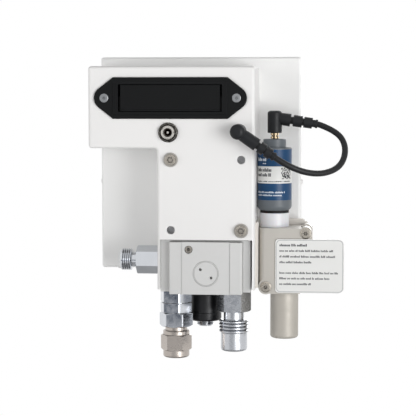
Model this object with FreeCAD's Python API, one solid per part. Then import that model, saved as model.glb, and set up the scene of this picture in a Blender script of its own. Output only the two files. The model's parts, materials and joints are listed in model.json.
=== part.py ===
import FreeCAD, Part
import math
import os

# Air oxygen blender, seen from its rear. Millimetres, +Z up, +X to the right when looking at the rear.
# The origin is the centre of the mounting pattern, on the outer face of the rear cover.
# The rear faces -Y, and the operator's side with the knob and the display faces +Y.

# Rear cover
WALL = 2.3
COVER_DEPTH = 71.5
COVER_LEFT = -106.5
COVER_RIGHT = 44.0
COVER_TOP = 115.7
SHOULDER_Z = 41.9
NECK_LEFT = -44.2
PANEL_BOTTOM = -40.4
CHEEK_BOTTOM = -85.6
COVER_BEND = 3.0

# Front housing
HOUSING_RIGHT = 83.1
HOUSING_BOTTOM = -74.7
HOUSING_TOP = 125.6
HOUSING_DEPTH = 45.5
HOUSING_WALL = 2.5
HOUSING_EDGE = 2.4
FRONT_PLATE = 4.0
LIP_DEPTH = 4.0
LIP_WALL = 2.0
FIT_GAP = 0.2

# Mounting pattern on the rear cover
PATTERN = 63.5
OPEN_HOLE_R = 3.75
OPEN_HOLE_DEPTH = 14.0
MOUNT_SCREW_R = 3.0
MOUNT_HEAD_R = 4.9
MOUNT_HEAD_H = 3.4
WASHER_R = 6.5
WASHER_T = 1.6
SCREW_LENGTH = 14.0
THREAD_GAP = 0.05
CLEAR_HOLE = 0.4

# Valve body behind the panel
BODY_SIDE_GAP = 3.9
BODY_HALF_WIDTH = -NECK_LEFT - WALL - BODY_SIDE_GAP
BODY_TOP = 40.0
GASKET = 1.3
BONNET_ROOM = 9.2
BODY_DEPTH = COVER_DEPTH - WALL - BONNET_ROOM
BALANCE_X = 12.0
BALANCE_Y = 30.0
BALANCE_R = 9.0
BALANCE_FLOOR = -4.0
SPOOL_LENGTH = 15.0
DISCS = 6
DISC_INNER = 5.0
DISC_OUTER = 7.4
DISC_WALL = 0.9
SPOOL_WAIST_R = 5.0
CAP_DEPTH = 6.0

# Concentration knob
KNOB_X = -11.7
KNOB_Z = -20.0
KNOB_R = 30.0
KNOB_DEPTH = 22.0
KNOB_FLUTES = 14
SPINDLE_R = 6.0
SLIDE_GAP = 0.05
BONNET_R = 14.0
BONNET_FLANGE_R = 18.0
BONNET_FLANGE_T = 5.0
BONNET_PROUD = 8.0
DIAL_R = 42.0
DIAL_T = 1.2
DIAL_HOLE_R = 8.5

# Manifold block
MANIFOLD_LEFT = NECK_LEFT + WALL
MANIFOLD_RIGHT = 39.9
MANIFOLD_BOTTOM = -88.3
MANIFOLD_FRONT = 6.0
BOSS_LEFT = -33.2
BOSS_RIGHT = 32.8
BOSS_FRONT = -1.5
BOSS_BOTTOM = -89.8
BOSS_BACK = 2.0
PAD_WIDTH = 10.9
PAD_STEP = 0.8
PLUG_X = 0.0
PLUG_Z = -70.8
PLUG_R = 11.7
PLUG_DEPTH = 8.0
PIN_HOLE_R = 1.3
PIN_HOLE_PITCH = 12.264

# Gas fittings
PORT_Y = 25.0
OUTLET_Z = -61.3
AIR_X = -29.7
OXYGEN_X = 23.7
BLEED_X = -4.5
BLEED_INSET = 17.3
BLEED_Y = WALL + BODY_DEPTH - BLEED_INSET
BORE_R = 4.0

# Battery drawer
BEZEL_X = -32.0
BEZEL_Z = 87.0
BEZEL_LENGTH = 137.8
BEZEL_WING = 17.3
BEZEL_FLAT = BEZEL_LENGTH - 2 * BEZEL_WING
BEZEL_HEIGHT = 37.2
BEZEL_END_R = 10.5
BEZEL_T = 3.4
FRAME_SIDE = 6.6
DRAWER_WIDTH = BEZEL_FLAT - 2 * FRAME_SIDE
DRAWER_HEIGHT = 24.0
DRAWER_DEPTH = 55.5
DRAWER_GAP = 0.35
BOX_WALL = 1.6
CELL_R = 7.25
CELL_LENGTH = 50.5
CELLS = 4
CELL_MARGIN = 3.0
CELL_PITCH = (DRAWER_WIDTH - 2 * CELL_MARGIN) / CELLS

# Sockets on the rear cover
DC_X = -33.9
DC_Z = 56.3
SOCKET_X = 29.9
SOCKET_Z = 57.3

# Oxygen sensor group
BRACKET_T = 2.6
BRACKET_TOP = -25.0
BRACKET_BOTTOM = -84.5
BRACKET_FRONT = 10.0
SENSOR_X = 60.2
SENSOR_Y = 34.0
BLOCK_TOP = -30.4
BLOCK_BOTTOM = -90.0
BLOCK_FRONT = 12.0
BLOCK_DEPTH = 44.0
BLOCK_RIGHT = 84.5
TUBE_X = 69.6
TUBE_R = 12.9
TUBE_BOTTOM = -133.0
SENSOR_R = 15.8

# Sensor cable
CABLE_R = 2.8
PLUG_EXIT_Y = -17.0

# Case screws and the plate inside
CHASSIS_T = 1.5
CHASSIS_FLANGE = 13.0
CHASSIS_GAP = 0.3
HOUSING_SCREW_R = 1.5
SIDE_SCREW_INSET = 10.5
SIDE_SCREW_Z = 7.8
BOTTOM_SCREW_X = -90.4
SIDE_HEAD_R = 2.6
SIDE_HEAD_H = 1.8
SIDE_HEAD_BEVEL = 0.8
SIDE_SOCKET = 2.4
SIDE_SOCKET_DEPTH = 1.1
WIRING_LEFT = -30.0
WIRING_RIGHT = 10.0
WIRING_BOTTOM = 60.0
WIRING_TOP = 96.0

# Display, keypad and circuit board
WINDOW_X = -11.7
WINDOW_Z = 76.0
WINDOW_W = 76.0
WINDOW_H = 40.0
WINDOW_T = 2.0
WINDOW_LEDGE = 2.5
KEYPAD_Z = 38.0
KEYPAD_T = 0.5
BOARD_Y = 97.0
BOARD_T = 1.6
BOARD_SCREW_R = 1.5
POST_R = 3.5
POST_OFFSET = 9.0
BOARD_MARGIN = 7.0
BOARD_HEAD_R = 2.8
BOARD_HEAD_H = 1.8
BOARD_SOCKET = 2.6
BOARD_SCREW_LENGTH = 8.0
CHIPS = 4
CHIP_PITCH = 22.0
CHIP_WIDTH = 12.0
CHIP_BELOW = 8.0
CHIP_ABOVE = 6.0
CHIP_T = 2.6
CAPACITOR_R = 5.0
CAPACITOR_H = 9.0
CAPACITOR_OFFSET = 20.0
DISPLAY_RIM = 3.0
DISPLAY_SINK = 0.8
KEYPAD_W = 86.0
KEYPAD_H = 20.0
KEYPAD_CORNER = 4.0
KEYS = 4
KEY_PITCH = 20.0
KEY_R = 6.5
KEY_T = 0.7

# Knob details
KNOB_LIFT = 0.8
KNOB_CAP_R = 17.0
KNOB_CAP_T = 3.0
KNOB_SCREW_R = 2.0
KNOB_HEAD_R = 3.4
SPINDLE_FLOOR = 14.0
VALVE_BORE_R = 8.0
SPINDLE_CLEARANCE = 2.0
KNOB_SKIRT = 3.0
KNOB_SLOPE = 4.5
KNOB_HOLLOW = 9.0
KNOB_HUB_WALL = 4.0
KNOB_ROOF = 4.0
FLUTE_R = 3.2
FLUTE_INSET = 1.5
KNOB_CAP_PROUD = 0.4
KNOB_HEAD_H = 1.2
KNOB_SOCKET = 2.6
KNOB_SCREW_LENGTH = 11.0
SPINDLE_BACK = 2.2

# Small face screw of the manifold
MANIFOLD_SCREW = (-15.6, -49.2)
SMALL_SCREW_R = 1.6
SMALL_HEAD_R = 3.4
SMALL_HEAD_H = 2.6
SMALL_LENGTH = 12.0
PLUG_TURN = 38.0
PLUG_PROUD = 0.3
PLUG_RIM = 0.9
PLUG_GROOVE = 0.4
MOUNT_SOCKET = 6.0
CAP_RIM = 2.5
CAP_PROUD = 2.0
CAP_PIN_R = 1.2
CAP_PIN_OFFSET = 5.0
SPOOL_LAND = 5.0

# Side outlet
STEM_DEPTH = 12.0
OUTLET_STEM_R = 8.0
OUTLET_AC = 26.0
OUTLET_TURN = 9.0
OUTLET_HEX = 21.5
OUTLET_NOSE = 36.6
OUTLET_NECK_R = 6.75
OUTLET_THREAD_R = 10.0
OUTLET_BORE_R = 5.0
OUTLET_SHELF = 12.0
POPPET_STEM = 14.0
POPPET_GUIDE_R = 1.6
OUTLET_NECK = 4.6
SPRING_R = 3.4
SPRING_WIRE = 0.4
SPRING_TURNS = 6

# Air inlet
AIR_STEM_R = 9.0
AIR_HEX_AC = 31.0
AIR_TURN = 12.0
AIR_TIER = 11.3
AIR_BODY = 20.8
AIR_SPIGOT = 8.0
AIR_SPIGOT_R = 11.5
AIR_GROOVE = 1.0
AIR_CORE_R = 12.6
AIR_NUT_GAP = 0.2
AIR_NUT_AC = 31.4
AIR_NUT_TURN = 2.0
AIR_NUT_H = 13.2
AIR_NUT_FLOOR = 3.0
AIR_SHANK_R = 10.0
AIR_NECK = 3.8
COLLAR_R = 12.15
COLLAR_H = 3.6
SWIVEL_AC = 28.6
SWIVEL_HEX = 14.3
SWIVEL_LENGTH = 20.9
SWIVEL_SHELF = 4.0
SWIVEL_BORE_R = 7.0
SWIVEL_MOUTH_R = 9.6
SKIRT_R = 12.1
NIPPLE_HEAD_R = 8.9
NIPPLE_HEAD_H = 5.5
SWIVEL_GAP = 0.3
FILTER_T = 3.0
FILTER_DEPTH = 4.0

# Oxygen inlet
OXYGEN_STEM_R = 10.0
OXYGEN_AC = 31.4
OXYGEN_TURN = 2.0
OXYGEN_HEX = 19.6
OXYGEN_NECK_R = 9.35
OXYGEN_NECK = 7.6
OXYGEN_THREAD = 12.3
OXYGEN_THREAD_R = 13.6
OXYGEN_NOSE_R = 12.05
OXYGEN_LENGTH = 56.1
OXYGEN_BORE_R = 6.0
OXYGEN_BORE = 16.0

# Bleed outlet and its sliding collar
BLEED_STEM_R = 7.85
BLEED_LENGTH = 36.4
BLEED_THREAD_START = 29.6
BLEED_SLEEVE_R = 14.4
BLEED_FLANGE_R = 15.0
COLLAR_GAP = 6.2
COLLAR_LENGTH = 25.2
COLLAR_RECESS = 4.5
BLEED_BORE_R = 3.0
FLANGE_START = 11.4
FLANGE_FULL = 7.8
RETAINER_R = 9.4
RETAINER_T = 1.0

# Battery bezel, drawer and screws
BEZEL_WING_T = 2.4
BEZEL_SCREW_R = 1.9
BEZEL_HEAD_R = 3.9
BEZEL_SCREW_LENGTH = 6.0
SLOT = 1.8
DOOR_INSET = 0.5
DOOR_T = 3.0
TRAY_FLOOR = 3.0
CONTACT_ROOM = 3.0
FRAME_RIM = 2.6
BEZEL_SOCKET = 2.9
LIP_GROOVE_END = 1.0
LIP_GROOVE = DRAWER_WIDTH - 2 * LIP_GROOVE_END
LIP_GROOVE_LOW = 1.6
LIP_GROOVE_HIGH = 2.6
LIP_GROOVE_DEPTH = 0.7
CELL_GAP = 0.1
TAB_WIDTH = 8.0
TAB_HEIGHT = 10.0
TAB_T = 0.5

# Socket details
DC_BUSH_R = 5.95
DC_PROUD = 5.0
DC_NUT_AC = 18.0
SOCKET_R = 5.0
PIN_R = 1.75
DC_MOUTH_R = 4.15
DC_BORE_R = 3.1
DC_BORE = 12.0
DC_PIN_R = 1.0
DC_NUT_H = 3.4
DC_NUT_TURN = 20.0
DC_WASHER_T = 0.9
SOCKET_FLANGE_R = 6.5
SOCKET_FLANGE_T = 1.6
SOCKET_LENGTH = 18.0
SOCKET_SNAP_R = 5.6

# Sensor block details
LUG_X = 89.3
LUG_Z = -34.6
LUG_R = 5.6
LUG_DEPTH = 14.0
LOW_LUG_X = 53.4
LOW_LUG_Z = -83.8
BLOCK_SCREW_R = 2.4
BLOCK_HEAD_R = 4.0
BLOCK_HEAD_H = 3.2
BLOCK_WASHER_R = 5.0
BLOCK_WASHER_T = 1.0
BRACKET_SCREW_R = 1.9
BRACKET_HEAD_R = 3.6
BRACKET_SCREW_IN = 9.0
BRACKET_SCREW_Y = 48.0
BRACKET_SCREW_Z = (-50.0, -76.0)
BRACKET_SOCKET = 2.9
BRACKET_REACH = 5.5
BRACKET_CLIP = 9.0
BRACKET_CLIP_DROP = 7.0
BRACKET_SLOPE_START = -50.0
BRACKET_SLOPE_END = -60.0
BRACKET_INSET = 2.0
BLOCK_ROUND = 5.5
BLOCK_SOCKET = 4.0
BACK_LUG_DEPTH = 12.0
SENSOR_PASSAGE_R = 8.0
SENSOR_PASSAGE_Z = -60.0
TUBE_PASSAGE_R = 9.0
TUBE_PASSAGE_Z = -52.0
PLATE_CORNER = 5.0
PLATE_INNER_CORNER = 3.0
PLATE_LEFT = 62.1
PLATE_RIGHT = 123.9
PLATE_TOP = -40.0
PLATE_BOTTOM = -88.8
PLATE_T = 1.2
TUBE_SEAT = 14.0
TUBE_BORE_R = 11.0
TUBE_BORE_LENGTH = 25.0

# Sensor and bushing
BUSHING_R = 13.5
BUSHING_H = 12.9
BUSHING_STUB = 9.0
BUSHING_STUB_R = 11.0
SEAL_R = 13.2
SEAL_T = 2.4
SENSOR_THREAD_R = 7.85
SENSOR_STUD = 14.0
SENSOR_HEIGHT = 57.2
SENSOR_CAP_R = 10.5
SENSOR_CAP_H = 7.6
LABEL_LOW = 9.5
LABEL_HIGH = 55.7
LABEL_T = 0.2
PLUG_COLLAR_R = 3.6
PLUG_COLLAR_H = 5.6
PLUG_LENGTH = 20.3
PLUG_R_MOULD = 6.6
SENSOR_EXIT_HEIGHT = 13.6
SENSOR_EXIT_DROP = 8.0
HOUSING_EXIT_DROP = 34.5
RELIEF_CORE_R = 3.4
RELIEF_LENGTH = 39.5
RELIEF_BASE_R = 5.2
RELIEF_END_R = 3.95
# Each rib of the two strain reliefs: where it starts, where it ends and its radius.
SENSOR_RIBS = ((10.5, 14.5, 5.75), (17.0, 25.3, 5.3), (26.8, 34.6, 5.0))
HOUSING_RIBS = ((10.5, 20.5, 5.75), (23.0, 28.5, 5.3), (30.0, 35.5, 5.0))
RELIEF_TIP = 37.3
SOCKET_PLUG_EXTRA = 2.6
SOCKET_PLUG_WIDER = 0.2
PLUG_SEAT_Y = -2.0
PIN_IN = 12.0
# The corners of the cable's loop between the two strain reliefs.
CABLE_CORNERS = (
    (77.3, -16.9, 24.9),
    (101.7, -5.2, 18.8),
    (121.0, 7.0, 25.5),
    (125.8, 20.2, 43.3),
    (116.5, 29.8, 57.6),
)


def v(x, y, z):
    return FreeCAD.Vector(x, y, z)


def box(x0, x1, y0, y1, z0, z1):
    return Part.makeBox(x1 - x0, y1 - y0, z1 - z0, v(x0, y0, z0))


def rod(radius, start, end):
    axis = end.sub(start)
    return Part.makeCylinder(radius, axis.Length, start, axis)


def ring(outer, inner, start, end):
    return rod(outer, start, end).cut(rod(inner, start, end))


def turned(profile, origin, axis):
    """Revolves (distance along the axis, radius) points about an axis from the origin."""
    points = [v(radius, 0, along) for along, radius in profile]
    face = Part.Face(Part.makePolygon(points + [points[0]]))
    solid = face.revolve(v(0, 0, 0), v(0, 0, 1), 360)
    turn = FreeCAD.Rotation(v(0, 0, 1), axis)
    solid.Placement = FreeCAD.Placement(origin, turn)
    return solid


def hexagon(across_corners, start, end, turn_deg=0.0):
    """A hexagonal bar from start to end; at zero turn a corner points sideways from the axis."""
    axis = end.sub(start)
    radius = across_corners / 2
    corners = []
    for i in range(7):
        a = math.radians(60 * i + turn_deg)
        corners.append(v(radius * math.cos(a), radius * math.sin(a), 0))
    solid = Part.Face(Part.makePolygon(corners)).extrude(v(0, 0, axis.Length))
    solid.Placement = FreeCAD.Placement(start, FreeCAD.Rotation(v(0, 0, 1), axis))
    return solid


def chamfered_hex(across_corners, start, end, turn_deg=0.0, bevel=1.2, both=True):
    """A hexagon whose corners are turned down at its ends, as on a nut."""
    length = end.sub(start).Length
    full = across_corners / 2
    flat = full - bevel
    first = flat if both else full
    drop = bevel * 0.6
    first_drop = drop if both else 0.0
    profile = [(0, 0), (0, first), (first_drop, full + 0.01), (length - drop, full + 0.01)]
    profile += [(length, flat), (length, 0)]
    trim = turned(profile, start, end.sub(start))
    return hexagon(across_corners, start, end, turn_deg).common(trim)


def edges_along(shape, direction, test):
    """The straight edges of a shape along one direction whose middle passes the test."""
    found = []
    for edge in shape.Edges:
        if len(edge.Vertexes) != 2:
            continue
        line = edge.Vertexes[1].Point.sub(edge.Vertexes[0].Point)
        if line.Length < 1e-6 or edge.Curve.TypeId != "Part::GeomLine":
            continue
        middle = edge.CenterOfMass
        if abs(abs(line.normalize().dot(direction)) - 1) < 1e-6 and test(middle):
            found.append(edge)
    return found


def plate(points, y0, y1):
    """A flat piece with an outline of (x, z) points, between two depths."""
    wire = Part.makePolygon([v(x, y0, z) for x, z in points + [points[0]]])
    return Part.Face(wire).extrude(v(0, y1 - y0, 0))


def save(name, shape):
    shape = shape.removeSplitter()
    good = shape.isValid() and len(shape.Solids) > 0
    counts = f"{len(shape.Solids)} solid(s), {len(shape.Faces)} faces"
    print(f"{name}: {counts}, {shape.Volume:.0f} mm3, valid {good}")
    shape.exportStep(f"parts/{name}.step")


def cover_outline():
    return [
        (COVER_LEFT, COVER_TOP),
        (COVER_RIGHT, COVER_TOP),
        (COVER_RIGHT, CHEEK_BOTTOM),
        (NECK_LEFT, CHEEK_BOTTOM),
        (NECK_LEFT, SHOULDER_Z),
        (COVER_LEFT, SHOULDER_Z),
    ]


def rear_cover():
    """One folded cover: a wide head over a narrow neck whose two cheeks run down beside the manifold."""
    shell = plate(cover_outline(), 0, COVER_DEPTH)
    along_y = edges_along(shell, v(0, 1, 0), lambda p: p.z > CHEEK_BOTTOM + 1)
    shell = shell.makeFillet(COVER_BEND, along_y)
    rim = [e for e in shell.Edges if e.BoundBox.YMax < 0.001 and e.CenterOfMass.z > CHEEK_BOTTOM + 1]
    shell = shell.makeFillet(COVER_BEND - 0.05, rim)
    inside = [
        (COVER_LEFT + WALL, COVER_TOP - WALL),
        (COVER_RIGHT - WALL, COVER_TOP - WALL),
        (COVER_RIGHT - WALL, CHEEK_BOTTOM - WALL),
        (NECK_LEFT + WALL, CHEEK_BOTTOM - WALL),
        (NECK_LEFT + WALL, SHOULDER_Z + WALL),
        (COVER_LEFT + WALL, SHOULDER_Z + WALL),
    ]
    hollow = plate(inside, WALL, COVER_DEPTH + WALL)
    shell = shell.cut(hollow)
    window = box(NECK_LEFT + WALL, COVER_RIGHT - WALL, -WALL, 2 * WALL, CHEEK_BOTTOM - WALL, PANEL_BOTTOM)
    cuts = [window]
    half = PATTERN / 2
    for sx, sz, radius in ((-1, 1, None), (1, -1, None), (1, 1, OPEN_HOLE_R), (-1, -1, OPEN_HOLE_R)):
        hole = radius or MOUNT_SCREW_R + CLEAR_HOLE
        cuts.append(rod(hole, v(sx * half, -WALL, sz * half), v(sx * half, 2 * WALL, sz * half)))
    cuts.append(drawer_box_outer(-WALL, 2 * WALL, CLEAR_HOLE))
    for x in bezel_screw_x():
        cuts.append(rod(BEZEL_SCREW_R + THREAD_GAP, v(x, -WALL, BEZEL_Z), v(x, 2 * WALL, BEZEL_Z)))
    cuts.append(rod(DC_BUSH_R + CLEAR_HOLE / 2, v(DC_X, -WALL, DC_Z), v(DC_X, 2 * WALL, DC_Z)))
    cuts.append(rod(SOCKET_R + CLEAR_HOLE / 2, v(SOCKET_X, -WALL, SOCKET_Z), v(SOCKET_X, 2 * WALL, SOCKET_Z)))
    cuts.append(
        rod(
            OUTLET_STEM_R + CLEAR_HOLE,
            v(NECK_LEFT - WALL, PORT_Y, OUTLET_Z),
            v(NECK_LEFT + 2 * WALL, PORT_Y, OUTLET_Z),
        )
    )
    for y, z in bracket_screw_places():
        cuts.append(
            rod(BRACKET_SCREW_R + THREAD_GAP, v(COVER_RIGHT - 2 * WALL, y, z), v(COVER_RIGHT + WALL, y, z))
        )
    for cut in cuts:
        shell = shell.cut(cut)
    return shell


def housing_front():
    return COVER_DEPTH + HOUSING_DEPTH


def wiring_window(y0, y1):
    """The opening for the leads between the cover and the case."""
    return box(WIRING_LEFT, WIRING_RIGHT, y0, y1, WIRING_BOTTOM, WIRING_TOP)


def main_housing():
    """The wide case behind the cover: a rear wall and four sides in one piece, open at the front."""
    y0 = COVER_DEPTH
    y1 = housing_front() - FRONT_PLATE
    case = box(COVER_LEFT, HOUSING_RIGHT, y0, y1, HOUSING_BOTTOM, HOUSING_TOP)
    case = case.makeFillet(HOUSING_EDGE, edges_along(case, v(0, 1, 0), lambda p: True))
    rim = [e for e in case.Edges if e.BoundBox.YMax < y0 + 0.001]
    case = case.makeFillet(HOUSING_EDGE - 0.05, rim)
    w = HOUSING_WALL
    case = case.cut(
        box(COVER_LEFT + w, HOUSING_RIGHT - w, y0 + w, y1 + w, HOUSING_BOTTOM + w, HOUSING_TOP - w)
    )
    case = case.cut(rod(BONNET_R + CLEAR_HOLE, v(KNOB_X, y0 - w, KNOB_Z), v(KNOB_X, y0 + 2 * w, KNOB_Z)))
    case = case.cut(wiring_window(y0 - w, y0 + 2 * w))
    for start, end in housing_screw_places():
        case = case.cut(rod(HOUSING_SCREW_R + THREAD_GAP, start, end))
    return case


def housing_screw_places():
    """Each screw's start outside the wall and its inner end, seen from outside."""
    y = COVER_DEPTH + SIDE_SCREW_INSET
    reach = HOUSING_WALL + CHASSIS_T + 3
    places = []
    places.append((v(COVER_LEFT, y, SIDE_SCREW_Z), v(COVER_LEFT + reach, y, SIDE_SCREW_Z)))
    places.append((v(HOUSING_RIGHT, y, SIDE_SCREW_Z), v(HOUSING_RIGHT - reach, y, SIDE_SCREW_Z)))
    for x in (BOTTOM_SCREW_X, COVER_LEFT + HOUSING_RIGHT - BOTTOM_SCREW_X):
        places.append((v(x, y, HOUSING_BOTTOM), v(x, y, HOUSING_BOTTOM + reach)))
    return places


def housing_screws():
    screws = []
    for start, end in housing_screw_places():
        inward = end.sub(start).normalize()
        out = start.sub(inward * SIDE_HEAD_H)
        profile = [(0, 0), (0, SIDE_HEAD_R * 0.7), (SIDE_HEAD_BEVEL, SIDE_HEAD_R)]
        profile += [(SIDE_HEAD_H, SIDE_HEAD_R), (SIDE_HEAD_H, 0)]
        head = turned(profile, out, inward)
        head = head.cut(hexagon(SIDE_SOCKET, out, out.add(inward * SIDE_SOCKET_DEPTH)))
        screws.append(head.fuse(rod(HOUSING_SCREW_R, start, end)))
    return Part.makeCompound(screws)


def chassis_plate():
    """A bent plate inside the case: a back with three flanges that the case screws hold."""
    gap = CHASSIS_GAP
    y0 = COVER_DEPTH + HOUSING_WALL
    x0 = COVER_LEFT + HOUSING_WALL + gap
    x1 = HOUSING_RIGHT - HOUSING_WALL - gap
    z0 = HOUSING_BOTTOM + HOUSING_WALL + gap
    z1 = HOUSING_TOP - HOUSING_WALL - gap
    t = CHASSIS_T
    body = box(x0, x1, y0, y0 + CHASSIS_FLANGE, z0, z1)
    body = body.cut(box(x0 + t, x1 - t, y0 + t, y0 + 2 * CHASSIS_FLANGE, z0 + t, z1 + t))
    body = body.cut(rod(BONNET_R + CLEAR_HOLE, v(KNOB_X, y0 - t, KNOB_Z), v(KNOB_X, y0 + 2 * t, KNOB_Z)))
    body = body.cut(wiring_window(y0 - t, y0 + 2 * t))
    for start, end in housing_screw_places():
        body = body.cut(rod(HOUSING_SCREW_R + THREAD_GAP, start, end))
    return body


def front_panel():
    """The operator's face: a rounded plate with a locating lip, a knob hole and a display window."""
    y1 = housing_front()
    y0 = y1 - FRONT_PLATE
    face = box(COVER_LEFT, HOUSING_RIGHT, y0, y1, HOUSING_BOTTOM, HOUSING_TOP)
    face = face.makeFillet(HOUSING_EDGE, edges_along(face, v(0, 1, 0), lambda p: True))
    rim = [e for e in face.Edges if e.BoundBox.YMin > y1 - 0.001]
    face = face.makeFillet(HOUSING_EDGE - 0.05, rim)
    inset = HOUSING_WALL + FIT_GAP
    x0, x1 = COVER_LEFT + inset, HOUSING_RIGHT - inset
    z0, z1 = HOUSING_BOTTOM + inset, HOUSING_TOP - inset
    w = LIP_WALL
    lip = box(x0, x1, y0 - LIP_DEPTH, y0, z0, z1)
    lip = lip.cut(box(x0 + w, x1 - w, y0 - 2 * LIP_DEPTH, y0 + 1, z0 + w, z1 - w))
    face = face.fuse(lip)
    face = face.cut(rod(SPINDLE_R + SPINDLE_CLEARANCE, v(KNOB_X, y0 - 1, KNOB_Z), v(KNOB_X, y1 + 1, KNOB_Z)))
    wx, wz = WINDOW_W / 2, WINDOW_H / 2
    face = face.cut(box(WINDOW_X - wx, WINDOW_X + wx, y0 - 1, y1 + 1, WINDOW_Z - wz, WINDOW_Z + wz))
    lx, lz = wx + WINDOW_LEDGE, wz + WINDOW_LEDGE
    face = face.cut(box(WINDOW_X - lx, WINDOW_X + lx, y1 - WINDOW_T, y1 + 1, WINDOW_Z - lz, WINDOW_Z + lz))
    for x, z in board_post_places():
        face = face.fuse(ring(POST_R, BOARD_SCREW_R + THREAD_GAP, v(x, BOARD_Y + BOARD_T, z), v(x, y0, z)))
    return face


def board_post_places():
    """The four posts that carry the circuit board, around the display."""
    dx = WINDOW_W / 2 + POST_OFFSET
    dz = WINDOW_H / 2 + POST_OFFSET
    return [(WINDOW_X + sx * dx, WINDOW_Z + sz * dz) for sx in (-1, 1) for sz in (-1, 1)]


def display_window():
    y1 = housing_front()
    g = FIT_GAP
    wx, wz = WINDOW_W / 2 + WINDOW_LEDGE - g, WINDOW_H / 2 + WINDOW_LEDGE - g
    pane = box(WINDOW_X - wx, WINDOW_X + wx, y1 - WINDOW_T, y1, WINDOW_Z - wz, WINDOW_Z + wz)
    return pane.makeFillet(1.0, edges_along(pane, v(0, 1, 0), lambda p: True))


def display_module():
    """The glass display in its frame, standing on the circuit board right behind the window."""
    wx, wz = WINDOW_W / 2 - 1, WINDOW_H / 2 - 1
    y0 = BOARD_Y + BOARD_T
    y1 = housing_front() - WINDOW_T - FIT_GAP
    frame = box(WINDOW_X - wx, WINDOW_X + wx, y0, y1, WINDOW_Z - wz, WINDOW_Z + wz)
    bx, bz = wx - DISPLAY_RIM, wz - DISPLAY_RIM
    bed = box(WINDOW_X - bx, WINDOW_X + bx, y1 - DISPLAY_SINK, y1 + 1, WINDOW_Z - bz, WINDOW_Z + bz)
    return frame.cut(bed)


def circuit_board():
    """The board behind the display, with a row of chips and one capacitor."""
    margin = BOARD_MARGIN
    xs = [x for x, z in board_post_places()]
    zs = [z for x, z in board_post_places()]
    y0, y1 = BOARD_Y, BOARD_Y + BOARD_T
    board = box(min(xs) - margin, max(xs) + margin, y0, y1, min(zs) - margin, max(zs) + margin)
    for x, z in board_post_places():
        board = board.cut(rod(BOARD_SCREW_R + CLEAR_HOLE / 2, v(x, y0 - 1, z), v(x, y1 + 1, z)))
    half = CHIP_WIDTH / 2
    for i in range(CHIPS):
        x = WINDOW_X + (i - (CHIPS - 1) / 2) * CHIP_PITCH
        chip = box(x - half, x + half, y0 - CHIP_T, y0, WINDOW_Z - CHIP_BELOW, WINDOW_Z + CHIP_ABOVE)
        board = board.fuse(chip)
    x, z = WINDOW_X + CAPACITOR_OFFSET, WINDOW_Z + CAPACITOR_OFFSET
    return board.fuse(rod(CAPACITOR_R, v(x, y0 - CAPACITOR_H, z), v(x, y0, z)))


def board_screws():
    screws = []
    for x, z in board_post_places():
        top = v(x, BOARD_Y - BOARD_HEAD_H, z)
        head = rod(BOARD_HEAD_R, top, v(x, BOARD_Y, z))
        head = head.cut(hexagon(BOARD_SOCKET, top, v(x, BOARD_Y - 0.4 * BOARD_HEAD_H, z)))
        neck = v(x, BOARD_Y - 0.25 * BOARD_HEAD_H, z)
        screws.append(head.fuse(rod(BOARD_SCREW_R, neck, v(x, BOARD_Y + BOARD_SCREW_LENGTH, z))))
    return Part.makeCompound(screws)


def keypad_overlay():
    """A flat membrane beside the window with four raised round keys."""
    y1 = housing_front()
    wx, wz = KEYPAD_W / 2, KEYPAD_H / 2
    sheet = box(WINDOW_X - wx, WINDOW_X + wx, y1, y1 + KEYPAD_T, KEYPAD_Z - wz, KEYPAD_Z + wz)
    sheet = sheet.makeFillet(KEYPAD_CORNER, edges_along(sheet, v(0, 1, 0), lambda p: True))
    profile = [(0, 0), (0, KEY_R), (0.4, KEY_R - 0.3), (KEY_T, KEY_R - 1.5), (KEY_T, 0)]
    for i in range(KEYS):
        x = WINDOW_X + (i - (KEYS - 1) / 2) * KEY_PITCH
        sheet = sheet.fuse(turned(profile, v(x, y1 + KEYPAD_T, KEYPAD_Z), v(0, 1, 0)))
    return sheet


def dial_plate():
    y1 = housing_front()
    return ring(DIAL_R, DIAL_HOLE_R, v(KNOB_X, y1, KNOB_Z), v(KNOB_X, y1 + DIAL_T, KNOB_Z))


def control_knob():
    """A turned grip with scalloped sides, hollow at the back, with a hub bored for the spindle."""
    y0 = housing_front() + DIAL_T + KNOB_LIFT
    centre = v(KNOB_X, y0, KNOB_Z)
    r, d = KNOB_R, KNOB_DEPTH
    profile = [(0, 0), (0, r), (KNOB_SKIRT, r), (KNOB_SLOPE, r - 3.0)]
    profile += [(d - 2.0, r - 5.0), (d, r - 7.0), (d, 0)]
    grip = turned(profile, centre, v(0, 1, 0))
    hub = SPINDLE_R + KNOB_HUB_WALL
    roof = v(KNOB_X, y0 + d - KNOB_ROOF, KNOB_Z)
    grip = grip.cut(ring(r - KNOB_HOLLOW, hub, v(KNOB_X, y0 - 1, KNOB_Z), roof))
    for i in range(KNOB_FLUTES):
        a = math.radians(360.0 * (i + 0.5) / KNOB_FLUTES)
        x = KNOB_X + (r - FLUTE_INSET) * math.cos(a)
        z = KNOB_Z + (r - FLUTE_INSET) * math.sin(a)
        grip = grip.cut(rod(FLUTE_R, v(x, y0 + KNOB_SLOPE, z), v(x, y0 + d + 1, z)))
    floor = v(KNOB_X, y0 + d - KNOB_CAP_T, KNOB_Z)
    seat = rod(KNOB_CAP_R + FIT_GAP / 2, floor, v(KNOB_X, y0 + d + 1, KNOB_Z))
    bore_end = y0 + d - KNOB_CAP_T - 2.0
    bore = rod(SPINDLE_R + SLIDE_GAP, v(KNOB_X, y0 - 1, KNOB_Z), v(KNOB_X, bore_end, KNOB_Z))
    screw = rod(KNOB_SCREW_R + CLEAR_HOLE / 2, v(KNOB_X, y0, KNOB_Z), v(KNOB_X, y0 + d, KNOB_Z))
    return grip.cut(seat).cut(bore).cut(screw)


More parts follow.
